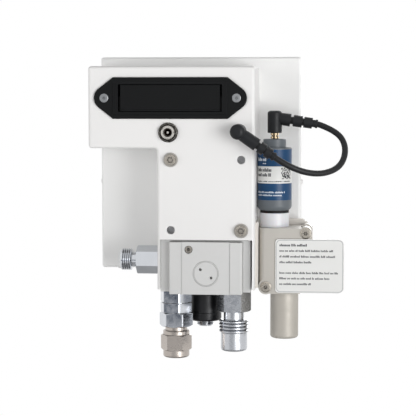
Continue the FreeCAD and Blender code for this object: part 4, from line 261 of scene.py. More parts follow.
def finishes():
    """One material for each slot of the record, by slot name."""
    c = colours()
    return {
        # Powder coated steel sheet: a faint orange peel and a soft even gloss.
        "white_paint": surface("powder_coated_sheet_steel", c.case, shade(c.case, 0.97), 60,
                               (0.36, 0.48), 1.8, 0.03),
        # Bead blasted, clear anodised aluminium: an even pale grey with a fine matt grain, with painted
        # highlights on its rounded edges and painted shade darkening its recesses.
        "manifold_metal": surface("bead_blasted_anodised_aluminium", c.manifold,
                                  shade(c.manifold, 0.93), 30, (0.5, 0.62), 0.9, 0.03, 0.3,
                                  linear("#E9E9E8"), 0.3, painted_shade=linear("#6B6B69"), recess=1.5),
        # Blasted and nickel plated brass: warmer, with a painted highlight along rounded edges and
        # painted shade in its recesses.
        "warm_metal": surface("blasted_nickel_plated_brass", c.sensor_block,
                              shade(c.sensor_block, 0.92), 25, (0.34, 0.46), 0.8, 0.02, 0.55,
                              linear("#E2DFDA"), 0.35, painted_shade=linear("#5D574F"), recess=1.5),
        # Milled aluminium as it leaves the cutter: straight fine lines and a slight streak.
        "raw_metal": surface("milled_aluminium", linear("#BDBEC0"), linear("#A4A5A8"), 18,
                             (0.28, 0.42), 0.8, 0.02, 1.0, None, 0.3, (0.05, 1, 1)),
        # Chrome plated brass: mirror bright, with faint haze from handling, painted highlights on
        # rounded edges and painted shade in its recesses.
        "chromed": surface("chrome_plated_brass", c.chrome, shade(c.chrome, 0.88), 14,
                           (0.08, 0.2), 0.9, 0.006, 1.0, linear("#F2F4F6"), 0.3,
                           painted_shade=linear("#23242A"), recess=1.2),
        # Satin nickel plating: warm grey, softly mirrored, with turned rings, painted highlights on
        # rounded edges and painted shade in its recesses.
        "nickel": surface("satin_nickel_plated_brass", c.swivel, shade(c.swivel, 0.88), 14,
                          (0.22, 0.34), 0.7, 0.01, 1.0, linear("#EFEAE4"), 0.3, (0.15, 0.15, 1),
                          painted_shade=linear("#2B2723"), recess=1.2),
        # Stainless screw heads: bright, with painted highlights on their rounded edges and painted
        # shade, near black, in their sockets.
        "screw_steel": surface("stainless_screw_steel", linear("#CFC9BF"), linear("#A79F93"), 3,
                               (0.2, 0.36), 0.5, 0.01, 1.0, linear("#F2EFE9"), 0.25,
                               painted_shade=linear("#17130F"), recess=2.2),
        # Drawn spring wire: dark grey and slightly oily.
        "spring_steel": surface("drawn_spring_wire", linear("#8A8C90"), linear("#6E7074"), 3,
                                (0.2, 0.34), 0.4, 0.01, 1.0),
        # Machined brass: yellow, with a tarnished bloom and painted highlights on rounded edges.
        "brass_parts": surface("machined_brass", linear("#C9A45C"), linear("#A98543"), 9,
                               (0.22, 0.38), 0.6, 0.01, 1.0, linear("#E7CB8E"), 0.3),
        # Gold flashed contact brass: pale yellow and bright, with painted highlights on rounded edges
        # and painted shade between its ridges.
        "gold_pin": surface("gold_plated_brass", linear("#B9A88E"), linear("#7E6C50"), 5,
                            (0.14, 0.28), 0.5, 0.008, 1.0, linear("#E6DCC8"), 0.2,
                            painted_shade=linear("#3A2B16"), recess=0.8),
        # Moulded nylon with a spark eroded texture: near black with a pebbled matt face, rounded edges
        # lightened in patches as painted wear and highlight, and painted shade in its recesses.
        "black_plastic": surface("moulded_black_nylon", c.drawer, shade(c.drawer, 1.25), 22,
                                 (0.42, 0.58), 0.9, 0.05, 0.0, linear("#34363A"), 0.35,
                                 shader={"Specular IOR Level": 0.14},
                                 painted_shade=linear("#030303"), recess=2.5),
        # Black anodised aluminium: dark satin whose rounded edges show a metal grey in patches, as
        # painted wear and painted highlight.
        "black_anodised": surface("black_anodised_aluminium", linear("#151517"), linear("#1E1F22"),
                                  12, (0.28, 0.42), 0.6, 0.01, 0.4, linear("#77787C"), 0.25),
        # Moulded nitrile rubber: flat black with a bloom of grey.
        "rubber_black": surface("moulded_nitrile_rubber", linear("#111112"), linear("#1B1B1D"), 9,
                                (0.55, 0.72), 0.9, 0.03, shader={"Specular IOR Level": 0.25}),
        # Overmoulded soft PVC: dark, slightly shiny, with a drawn grain, rounded edges lightened in
        # patches as painted wear and highlight, and painted shade in its recesses.
        "plug_rubber": surface("overmoulded_soft_pvc", linear("#151618"), linear("#1E2023"), 10,
                               (0.36, 0.5), 0.8, 0.03, 0.0, linear("#3C3E42"), 0.3,
                               shader={"Specular IOR Level": 0.25},
                               painted_shade=linear("#060607"), recess=1.5),
        # Extruded PVC jacket: satin with long faint streaks.
        "cable_jacket": surface("extruded_pvc_jacket", c.cable, shade(c.cable, 1.35), 12,
                                (0.32, 0.46), 0.8, 0.015, shader={"Specular IOR Level": 0.3}),
        # Moulded polycarbonate cell: cool grey with a low satin.
        "sensor_grey": surface("moulded_grey_polycarbonate", c.sensor, shade(c.sensor, 0.93), 16,
                               (0.32, 0.46), 0.9, 0.02, 0.0, linear("#9AA2AA"), 0.3,
                               shader={"Specular IOR Level": 0.35}),
        # Printed vinyl: white between two blue bands, satin.
        "sensor_wrap": banded_label(),
        # Turned acetal: milky, letting a little light into its edges.
        "bushing_white": surface("turned_natural_acetal", linear("#E8E8EC"), linear("#DDDEE3"), 12,
                                 (0.26, 0.38), 0.7, 0.012, 0.0, None, 0.3, (0.2, 0.2, 1),
                                 {"Subsurface Weight": 0.1, "Subsurface Scale": 0.002}),
        # Printed rigid vinyl plate: flat, smooth and slightly glossy.
        "plate_white": surface("rigid_printed_vinyl", c.label, shade(c.label, 0.97), 30,
                               (0.26, 0.36), 1.6, 0.01),
        # Cast acrylic window: clear, with a faint smoke tint.
        "window_clear": surface("cast_acrylic_window", linear("#E8ECEE"), linear("#DDE3E6"), 30,
                                (0.02, 0.06), 2.0, 0.002, 0.0, None, 0.3, (1, 1, 1),
                                {"Transmission Weight": 0.92, "IOR": 1.49}),
        # Liquid crystal glass when off: deep green grey.
        "display_dark": surface("liquid_crystal_glass", linear("#4E5A55"), linear("#46524E"), 18,
                                (0.08, 0.16), 1.2, 0.004),
        # Glass epoxy board under green solder resist.
        "board_green": surface("solder_resist_glass_epoxy", linear("#1E5A3C"), linear("#2A6B49"),
                               5, (0.22, 0.36), 0.8, 0.02),
        # Screen printed polyester film: fine velvet texture.
        "keypad_film": surface("velvet_polyester_film", linear("#C5CBD1"), linear("#BAC1C8"), 26,
                               (0.42, 0.52), 0.7, 0.02),
        # The same kind of film with a satin face, printed dark blue grey.
        "dial_film": surface("satin_polyester_film", linear("#3A4652"), linear("#33404C"), 24,
                             (0.38, 0.5), 0.7, 0.02),
        # Moulded glass filled nylon knob: matt, with flutes lightened at their edges as painted wear
        # and painted highlight.
        "knob_plastic": surface("moulded_glass_filled_nylon", c.knob, shade(c.knob, 1.3), 16,
                                (0.4, 0.55), 0.9, 0.05, 0.0, linear("#5A5E64"), 0.5),
        # Pressed polypropylene cap: smooth pale grey.
        "cap_plastic": surface("pressed_polypropylene", linear("#AEB6BE"), linear("#A2ABB4"), 14,
                               (0.34, 0.44), 1.0, 0.02, 0.0, linear("#D5DADF"), 0.3),
        # Shrunk PVC sleeve on the cells: glossy, with slack wrinkles.
        "cell_wrap": surface("shrunk_pvc_sleeve", linear("#2F6E4F"), linear("#285F45"), 8,
                             (0.16, 0.3), 3.0, 0.06),
        # Sintered bronze: porous, brown and dull.
        "filter_bronze": surface("sintered_bronze", linear("#8C6A45"), linear("#6F5236"), 2,
                                 (0.5, 0.7), 0.5, 0.08, 0.9),
    }


def node_finishes():
    """Materials for the nodes whose surface differs from the rest of their slot."""
    return {
        # Bent aluminium plate under a beige chromate film: pale, dry and nearly matt, its rounded edges
        # lightened in patches as painted wear and painted highlight.
        "sensor_bracket": surface("chromated_aluminium_plate", colours().bracket,
                                  shade(colours().bracket, 0.93), 22, (0.42, 0.54), 1.2, 0.02, 0.15,
                                  linear("#EDEAE4"), 0.3),
        # Satin nickel on the long turned tube: light, with faint rings along it and painted highlights
        # on its rounded edges.
        "flow_tube": surface("satin_nickel_plated_tube", linear("#BFBAB2"), linear("#B2ADA4"), 20,
                             (0.46, 0.58), 0.8, 0.012, 0.35, linear("#DAD6CF"), 0.3, (0.15, 0.15, 1)),
        # Chrome that was blasted before plating: broad soft bands in place of sharp mirror lines. Its
        # rounded edges carry painted highlights and its recesses painted shade.
        "oxygen_inlet": surface("satin_chrome_plated_brass", linear("#CFD1D5"), linear("#B5B8BD"), 12,
                                (0.2, 0.32), 0.8, 0.01, 1.0, linear("#F2F4F6"), 0.3,
                                painted_shade=linear("#2B2C31"), recess=1.2),
        # Milled aluminium, bright anodised: pale and dry, so that the open holes look light inside.
        "valve_body": surface("bright_anodised_milled_aluminium", linear("#DEDEDF"), linear("#CFCFD1"),
                              18, (0.42, 0.55), 0.9, 0.02, 0.4, stretch=(0.05, 1, 1)),
        # Plain washers: clean and bright, with painted highlights on their rounded edges and painted
        # shade in their recesses.
        "mounting_washers": surface("bright_zinc_washer", linear("#BDB9B3"), linear("#A8A49E"), 4,
                                    (0.3, 0.42), 0.5, 0.01, 0.7, linear("#F4F3F0"), 0.2,
                                    painted_shade=linear("#3A3631"), recess=0.8),
        # Powder coated like the cover; its whiter colour is painted light, a brighter-lit copy of the
        # cover's coat.
        "main_housing": surface("powder_coated_housing", colours().housing,
                                shade(colours().housing, 0.97), 60, (0.36, 0.48), 1.8, 0.03),
        # Zinc plated countersunk screws: neutral grey and matt, with painted shade darkening their
        # sockets and painted highlights on rounded edges.
        "bezel_screws": surface("zinc_plated_screw_steel", linear("#9A9C9E"), linear("#808285"), 3,
                                (0.36, 0.5), 0.5, 0.015, 0.8, linear("#C5C7C9"), 0.2,
                                painted_shade=linear("#121214"), recess=1.2),
        # Polished dark nickel nut: dark, with painted highlights as small bright facets on its rounded
        # edges, and painted shade in its recesses.
        "dc_jack_nut": surface("polished_black_nickel", linear("#25231F"), linear("#191815"), 6,
                               (0.12, 0.22), 0.6, 0.006, 0.9, linear("#F2EEE6"), 0.8,
                               painted_shade=linear("#0C0A08"), recess=1.4),
        # Bright nickel on the jack's bush: a pale ring with painted highlights on its rounded edges,
        # round a bore darkened by painted shade.
        "dc_jack": surface("bright_nickel_bush", linear("#DCD9D3"), linear("#C9C5BE"), 6,
                           (0.2, 0.32), 0.6, 0.008, 0.9, linear("#F4F2EE"), 0.3,
                           painted_shade=linear("#120D09"), recess=4.5),
    }


def dress(material_by_slot, material_by_node):
    """Gives every carried-over node its own material, or else that of its slot in the record."""
    for entry in frame["record"]["subparts"]:
        node = frame["nodes"][entry["node"]]
        chosen = material_by_node.get(entry["node"], material_by_slot[entry["material_slot"]])
        node.data.materials.clear()
        node.data.materials.append(chosen)


def placed(name, data, body, material):
    """Adds a piece, rides it on its body and gives it a material."""
    piece = bpy.data.objects.new(name, data)
    bpy.context.scene.collection.objects.link(piece)
    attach(piece, body)
    data.materials.append(material)
    return piece


def made_material(name):
    found = bpy.data.materials.get(name)
    if found is None:
        raise RuntimeError(f"no finish named {name} has been made yet")
    return found


def formed(name, build, body, material):
    """Adds a piece whose mesh a function fills, with its faces turned outward."""
    shape = bmesh.new()
    build(shape)
    bmesh.ops.recalc_face_normals(shape, faces=shape.faces)
    mesh = bpy.data.meshes.new(name)
    shape.to_mesh(mesh)
    shape.free()
    return placed(name, mesh, body, material)


def slab(shape, outline, rise):
    """Adds a flat outline in metres, raised by a vector."""
    under = [shape.verts.new(Vector(point)) for point in outline]
    over = [shape.verts.new(Vector(point) + rise) for point in outline]
    shape.faces.new(under)
    shape.faces.new(over)
    for i in range(len(under)):
        j = (i + 1) % len(under)
        shape.faces.new((under[i], under[j], over[j], over[i]))


def strip(shape, outer, inner, rise):
    """Adds a closed flat band between two outlines of as many points, raised by a vector."""
    loops = [[shape.verts.new(Vector(point) + lift) for point in loop]
             for loop, lift in ((outer, Vector()), (outer, rise), (inner, rise), (inner, Vector()))]
    for first, second in zip(loops, loops[1:] + loops[:1]):
        for i in range(len(outer)):
            j = (i + 1) % len(outer)
            shape.faces.new((first[i], first[j], second[j], second[i]))


def turned(shape, place, axis, rings, steps):
    """Adds a closed form about an axis, from rings that each have a height and a radius.

    A radius may be a function of the angle.
    """
    axis = Vector(axis).normalized()
    side = Vector((1, 0, 0)) if abs(axis.x) < 0.9 else Vector((0, 1, 0))
    up = axis.cross(side)
    loops = []
    for height, radius in rings:
        loop = []
        for i in range(steps):
            angle = 2 * math.pi * i / steps
            r = radius(angle) if callable(radius) else radius
            out = side * math.cos(angle) + up * math.sin(angle)
            loop.append(shape.verts.new(Vector(place) + axis * height * MM + out * r * MM))
        loops.append(loop)
    for first, second in zip(loops, loops[1:] + loops[:1]):
        for i in range(steps):
            j = (i + 1) % steps
            shape.faces.new((first[i], first[j], second[j], second[i]))


def hexagon(corner, turn):
    """The radius at each angle of a hexagon, from its corner radius in millimetres and its turn."""
    flat = corner * math.cos(math.pi / 6)
    return lambda angle: flat / math.cos((angle - turn) % (math.pi / 3) - math.pi / 6)


def chamfered(corner, turn, start, end, bevel):
    """Rings of a hexagon whose corners are turned down at both ends, as on a nut."""
    sides = hexagon(corner, turn)
    cuts = [(CHAMFER_SLOPE * bevel * k / CHAMFER_STEPS, corner - bevel * (1 - k / CHAMFER_STEPS))
            for k in range(CHAMFER_STEPS + 1)]
    rings = [(start + rise, cone) for rise, cone in cuts]
    rings += [(end - rise, cone) for rise, cone in reversed(cuts)]
    return [(height, lambda angle, cone=cone: min(sides(angle), cone)) for height, cone in rings]


# A turned-down corner falls by this share of its width, in so many steps.
CHAMFER_SLOPE = 0.6
CHAMFER_STEPS = 5
# A rounded rectangle's corner has so many steps.
CORNER_STEPS = 6


def rounded_outline(left, right, low, high, corner, y):
    """The points of a rounded rectangle that faces the rear, in metres, from millimetres."""
    points = []
    for cx, cz, first in ((right - corner, high - corner, 0), (left + corner, high - corner, 90),
                          (left + corner, low + corner, 180), (right - corner, low + corner, 270)):
        for k in range(CORNER_STEPS + 1):
            angle = math.radians(first + 90 * k / CORNER_STEPS)
            points.append(((cx + corner * math.cos(angle)) * MM, y * MM,
                           (cz + corner * math.sin(angle)) * MM))
    return points


def row_of_blocks(put, start, end, base, height, seed, weight):
    """Puts small blocks in word-like groups along a row; they spell nothing."""
    spread = random.Random(seed)
    at = start
    while at < end - GROUP_ROOM:
        for _ in range(spread.randint(*GROUP_COUNTS)):
            wide = spread.uniform(*BLOCK_WIDTHS) * weight
            if at + wide > end:
                break
            put(at, at + wide, base, base + height * spread.choice(BLOCK_HEIGHTS))
            at += wide + BLOCK_GAP
        at += GROUP_GAP


# A block's least and greatest width, the gaps after a block and after a group, and the least room
# for a group, in millimetres.
BLOCK_WIDTHS = (0.5, 0.85)
BLOCK_GAP = 0.32
GROUP_GAP = 0.75
GROUP_ROOM = 1.0
# How few and how many blocks a group has, and the shares of the row's height that a block can take.
GROUP_COUNTS = (2, 9)
BLOCK_HEIGHTS = (0.7, 0.7, 1.0)
# Printing starts this far under the face that it lies on, in millimetres, so that no gap opens.
INK_ROOT = 0.02


def figures(shape, words, size, place, rise):
    """Adds raised figures that face the operator's side, in the built-in typeface."""
    curve = bpy.data.curves.new("figures", "FONT")
    curve.body = words
    curve.size = size * MM
    curve.align_x = "CENTER"
    curve.align_y = "CENTER"
    curve.resolution_u = 3
    curve.extrude = rise * MM / 2
    holder = bpy.data.objects.new("figures", curve)
    mesh = bpy.data.meshes.new_from_object(holder)
    facing = Matrix(((-1, 0, 0, place[0] * MM), (0, 0, 1, place[1] * MM),
                     (0, 1, 0, place[2] * MM), (0, 0, 0, 1)))
    mesh.transform(facing)
    shape.from_mesh(mesh)
    bpy.data.objects.remove(holder)
    bpy.data.curves.remove(curve)
    bpy.data.meshes.remove(mesh)


def inks():
    """Screen printing inks: a thin, slightly glossy film with faint mottling."""
    c = colours()
    return {
        "dark": surface("screen_printed_dark_ink", c.ink, shade(c.ink, 1.3), 4, (0.35, 0.5), 0.4, 0.004,
                        shader={"Specular IOR Level": 0.3}),
        "grey": surface("screen_printed_grey_ink", linear("#B9BABB"), linear("#ABACAD"), 4,
                        (0.35, 0.5), 0.4, 0.004),
        "pale": surface("screen_printed_pale_ink", c.pale_ink, shade(c.pale_ink, 0.92), 4,
                        (0.35, 0.5), 0.4, 0.004),
    }


class GASBLENDER_OT_camera(bpy.types.Operator):
    """Places the camera where the photograph was taken from"""
    bl_idname = "gasblender.camera"
    bl_label = "Camera"

    def execute(self, context):
        data = bpy.data.cameras.new("photo_camera")
        data.sensor_width = CAMERA_SENSOR
        data.lens = CAMERA_FOCAL_PIXELS / PHOTO_PIXELS * CAMERA_SENSOR
        data.clip_end = CAMERA_REACH
        camera = bpy.data.objects.new("photo_camera", data)
        camera.location = CAMERA_PLACE
        towards = Vector(CAMERA_AIM) - Vector(CAMERA_PLACE)
        camera.rotation_euler = towards.to_track_quat("-Z", "Y").to_euler()
        context.scene.collection.objects.link(camera)
        context.scene.camera = camera
        return {"FINISHED"}


# The photograph is square, with this many pixels a side, and the focal length is in the same pixels.
PHOTO_PIXELS = 416
CAMERA_FOCAL_PIXELS = 1383
# The sensor's width in millimetres.
CAMERA_SENSOR = 36.0
# How far the camera sees, and the two points that its line runs through, in metres.
CAMERA_REACH = 50
CAMERA_PLACE = (0.115, -1.233, 0.085)
CAMERA_AIM = (0.0020, 0.0, -0.0114)


class GASBLENDER_OT_finishes(bpy.types.Operator):
    """Makes the materials and puts them on the nodes that keep their shape"""
    bl_idname = "gasblender.finishes"
    bl_label = "Finishes"

    def execute(self, context):
        dress(finishes(), node_finishes())
        inks()
        return {"FINISHED"}


class GASBLENDER_OT_cable(bpy.types.Operator):
    """Lays the sensor cable from the housing plug to the sensor plug"""
    bl_idname = "gasblender.cable"
    bl_label = "Sensor cable"

    def execute(self, context):
        curve = bpy.data.curves.new("sensor_cable", "CURVE")
        curve.dimensions = "3D"
        # The tube's radius is each point's radius times the bevel depth.
        curve.bevel_depth = 1.0
        curve.bevel_resolution = 5
        curve.resolution_u = 24
        curve.use_fill_caps = True
        line = curve.splines.new("NURBS")
        line.points.add(len(CABLE_ROUTE) - 1)
        for point, place in zip(line.points, CABLE_ROUTE):
            point.co = (*place, 1.0)
            point.radius = sizes().cable / 2
        line.order_u = 3
        line.use_endpoint_u = True
        cable = placed("sensor_cable", curve, "case",
                       made_material("extruded_pvc_jacket"))
        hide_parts("cable")
        return {"FINISHED"}


class GASBLENDER_OT_plate_print(bpy.types.Operator):
    """Prints the border and the generic rows on the plate beside the sensor block"""
    bl_idname = "gasblender.plate_print"
    bl_label = "Plate print"

    def execute(self, context):
        low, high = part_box("label_plate")
        face = low[1] / MM + INK_ROOT
        rise = Vector((0, -sizes().print_height - INK_ROOT * MM, 0))

        def border(shape):
            lines = [rounded_outline(low[0] / MM + inset, high[0] / MM - inset,
                                     low[2] / MM + inset, high[2] / MM - inset, corner, face)
                     for inset, corner in PLATE_BORDER]
            strip(shape, *lines, rise)

        def rows(shape):
            def put(x0, x1, z0, z1):
                slab(shape, [(x * MM, face * MM, z * MM) for x, z in
                             ((x0, z0), (x1, z0), (x1, z1), (x0, z1))], rise)
            for number, (base, end, height, weight) in enumerate(PLATE_ROWS):
                row_of_blocks(put, PLATE_ROW_START, end, base, height, number, weight)

        formed("plate_border", border, "case", made_material("screen_printed_grey_ink"))
        formed("plate_rows", rows, "case", made_material("screen_printed_dark_ink"))
        return {"FINISHED"}


# The inset from the plate's edge and the corner radius of the border's outer and inner line.
PLATE_BORDER = ((0.7, 4.0), (1.3, 3.4))
# Each printed row of the plate in millimetres: its base, its end, its height, and how many times
# wider than usual its blocks are.
PLATE_ROWS = (
    (-46.5, 90.9, 2.3, 1.35),
    (-51.4, 115.7, 1.9, 1.0),
    (-56.6, 116.8, 1.9, 1.0),
    (-61.8, 95.2, 1.9, 1.0),
    (-71.5, 118.5, 1.9, 1.0),
    (-76.5, 111.5, 1.9, 1.0),
    (-81.6, 95.3, 1.9, 1.0),
)
PLATE_ROW_START = 65.9


class GASBLENDER_OT_sensor_print(bpy.types.Operator):
    """Prints generic rows and blocks round the oxygen sensor's label"""
    bl_idname = "gasblender.sensor_print"
    bl_label = "Sensor print"

    def execute(self, context):
        low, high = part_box("sensor_label")
        centre = (low + high) / 2
        inner = (high[0] - low[0]) / 2 - INK_ROOT * MM
        outer = inner + INK_ROOT * MM + sizes().print_height
        degree = math.degrees(MM / outer)

        def wrapped(shape, from_angle, to_angle, z0, z1):
            """A thin block bent round the sensor between two angles, from the rear to the right."""
            steps = max(1, math.ceil((to_angle - from_angle) / WRAP_STEP))
            loops = []
            for k in range(steps + 1):
                angle = math.radians(from_angle + (to_angle - from_angle) * k / steps)
                out = Vector((math.sin(angle), -math.cos(angle), 0))
                loops.append([shape.verts.new(Vector((centre.x, centre.y, low[2] + z * MM)) + out * r)
                              for r, z in ((inner, z0), (outer, z0), (outer, z1), (inner, z1))])
            for first, second in zip(loops, loops[1:]):
                for i in range(4):
                    j = (i + 1) % 4
                    shape.faces.new((first[i], first[j], second[j], second[i]))
            shape.faces.new(loops[0])
            shape.faces.new(loops[-1])

        def rows(shape, which):
            def put(s0, s1, z0, z1):
                wrapped(shape, s0 * degree, s1 * degree, z0, z1)
            for number, (start, end, base, height, weight) in enumerate(which):
                row_of_blocks(put, start / degree, end / degree, base, height,
                              SENSOR_SEED + number, weight)

        def dark(shape):
            rows(shape, SENSOR_DARK_ROWS)
            self.square(shape, wrapped)

        def pale(shape):
            rows(shape, SENSOR_PALE_ROWS)

        formed("sensor_dark_print", dark, "case",
               made_material("screen_printed_dark_ink"))
        formed("sensor_pale_print", pale, "case",
               made_material("screen_printed_pale_ink"))
        return {"FINISHED"}

    def square(self, shape, wrapped):
        """A patch of scattered blocks that encodes nothing."""
        spread = random.Random(SQUARE_SEED)
        first, last, base, top = SENSOR_SQUARE
        across, up = (last - first) / SQUARE_CELLS, (top - base) / SQUARE_CELLS
        for i in range(SQUARE_CELLS):
            for j in range(SQUARE_CELLS):
                if spread.random() < SQUARE_FILL:
                    wrapped(shape, first + i * across, first + (i + CELL_SHARE) * across,
                            base + j * up, base + (j + CELL_SHARE) * up)


# A bent block has a step at least every so many degrees.
WRAP_STEP = 5
# Printed rows round the sensor: first and last angle in degrees, height above the label's lower
# edge and height of the row in millimetres, and how many times wider than usual its blocks are.
SENSOR_DARK_ROWS = (
    (-66, -8, 26.0, 3.2, 1.6),
    (-66, -8, 21.6, 3.0, 1.6),
    (-66, 67, 16.6, 1.0, 2.0),
)
SENSOR_PALE_ROWS = (
    (-66, -22, 35.6, 3.0, 1.7),
    (-40, -24, 32.9, 1.3, 2.4),
    (-66, 42, 6.6, 1.5, 1.2),
    (-66, 30, 3.9, 1.5, 1.2),
)
SENSOR_SEED = 20
# The square of blocks: its first and last angle, and its lower and upper height. It has so many
# cells each way, of which this share is filled, and a block takes this share of its cell's side.
SENSOR_SQUARE = (24.8, 67.7, 19.3, 29.6)
SQUARE_CELLS = 13
SQUARE_FILL = 0.52
CELL_SHARE = 0.98
SQUARE_SEED = 5


def upper_middle(node):
    """The middle of a node's upper face in metres, and the node's height in millimetres."""
    low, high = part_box(node)
    return ((low[0] + high[0]) / 2, (low[1] + high[1]) / 2, high[2]), (high[2] - low[2]) / MM


class GASBLENDER_OT_fittings(bpy.types.Operator):
    """Makes the air inlet's hexagons and nut, the pin's knurled rings and the jack's moulding"""
    bl_idname = "gasblender.fittings"
    bl_label = "Fittings"

    def execute(self, context):
        self.air_inlet()
        self.union_nut()
        self.knurls()
        self.insulator()
        return {"FINISHED"}

    def air_inlet(self):
        """The stemmed fitting with two hexagonal tiers and a threaded spigot, bored through."""
        place, length = upper_middle("air_inlet_body")
        turn = math.radians(AIR_HEX_TURN)
        tier = AIR_STEM + AIR_TIER
        height = AIR_STEM + AIR_BODY
        rings = [(0, AIR_BORE), (0, AIR_STEM_RADIUS), (AIR_STEM, AIR_STEM_RADIUS)]
        rings += chamfered(AIR_HEX_CORNER, turn, AIR_STEM, tier, AIR_HEX_BEVEL)
        rings += [(tier, AIR_CORE), (tier + AIR_GROOVE, AIR_CORE)]
        rings += chamfered(AIR_HEX_CORNER, turn, tier + AIR_GROOVE, height, AIR_HEX_BEVEL)
        while height + AIR_PITCH < length:
            rings += [(height, AIR_SPIGOT - AIR_THREAD), (height + AIR_PITCH / 2, AIR_SPIGOT)]
            height += AIR_PITCH
        rings += [(length, AIR_SPIGOT - AIR_THREAD), (length, AIR_BORE)]
        body = formed("air_inlet_hexes",
                      lambda shape: turned(shape, place, DOWNWARD, rings, FITTING_STEPS),
                      "case", made_material("chrome_plated_brass"))
        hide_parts("air_inlet_body")

    def union_nut(self):
        """The six-sided nut on the spigot, with the hose nipple's shank through its floor."""
        place, length = upper_middle("air_inlet_nut")
        floor = length - AIR_NUT_FLOOR
        rings = [(0, AIR_NUT_BORE)]
        rings += chamfered(AIR_NUT_CORNER, math.radians(AIR_NUT_TURN), 0, length, AIR_NUT_BEVEL)
        rings += [(length, AIR_SHANK), (floor, AIR_SHANK), (floor, AIR_NUT_BORE)]
        nut = formed("air_inlet_union",
                     lambda shape: turned(shape, place, DOWNWARD, rings, FITTING_STEPS),
                     "case", made_material("chrome_plated_brass"))
        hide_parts("air_inlet_nut")

    def knurls(self):
        """Two rings of fine teeth on the pin between the sensor and its plug."""
        place, _ = upper_middle("oxygen_sensor")

        def teeth(angle):
            step = round(angle * SMALL_STEPS / (2 * math.pi))
            return KNURL_VALLEY if step % 4 < 2 else KNURL_RIDGE

        def build(shape):
            for start, end in KNURL_RINGS:
                turned(shape, place, (0, 0, 1), [(start, KNURL_ROOT), (start, teeth), (end, teeth),
                                                 (end, KNURL_ROOT)], SMALL_STEPS)
        formed("pin_knurls", build, "case", made_material("gold_plated_brass"))

    def insulator(self):
        """The dark moulding inside the power jack, round its pin."""
        low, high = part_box("dc_jack")
        place = ((low[0] + high[0]) / 2, low[1], (low[2] + high[2]) / 2)
        # Moulded phenolic: a brown that is nearly black, satin, so that the jack's bore looks deep.
        phenolic = surface("moulded_brown_phenolic", linear("#24170F"), linear("#170F0A"), 3,
                           (0.3, 0.45), 0.5, 0.01, shader={"Specular IOR Level": 0.3})
        formed("jack_insulator", lambda shape: turned(shape, place, (0, 1, 0), JACK_RINGS, SMALL_STEPS),
               "case", phenolic)


# The fittings hang with their axes downward, and have so many steps round them.
DOWNWARD = (0, 0, -1)
FITTING_STEPS = 96
SMALL_STEPS = 48
# The sizes of the air inlet and its union nut in millimetres, and their turns in degrees.
AIR_STEM = 12.0
AIR_STEM_RADIUS = 9.0
AIR_TIER = 11.3
AIR_GROOVE = 1.0
AIR_BODY = 20.8
AIR_CORE = 12.6
AIR_SPIGOT = 11.45
AIR_BORE = 4.0
AIR_HEX_CORNER = 15.5
AIR_HEX_TURN = 13.1
AIR_HEX_BEVEL = 1.0
AIR_PITCH = 1.0
AIR_THREAD = 0.6
AIR_NUT_CORNER = 15.7
AIR_NUT_TURN = 2.0
AIR_NUT_BEVEL = 2.2
AIR_NUT_BORE = 11.55
AIR_NUT_FLOOR = 3.0
AIR_SHANK = 10.05
# The knurled rings' starts and ends above the sensor, and their radii, in millimetres.
KNURL_RINGS = ((0.8, 2.1), (3.7, 5.3))
KNURL_ROOT = 3.3
KNURL_VALLEY = 3.35
KNURL_RIDGE = 3.9
# Depth from the jack's face and radius of each ring of its moulding, in millimetres.
JACK_RINGS = ((2.6, 3.09), (11.8, 3.09), (11.8, 1.03), (11.2, 1.03), (10.6, 2.3), (3.0, 2.7))


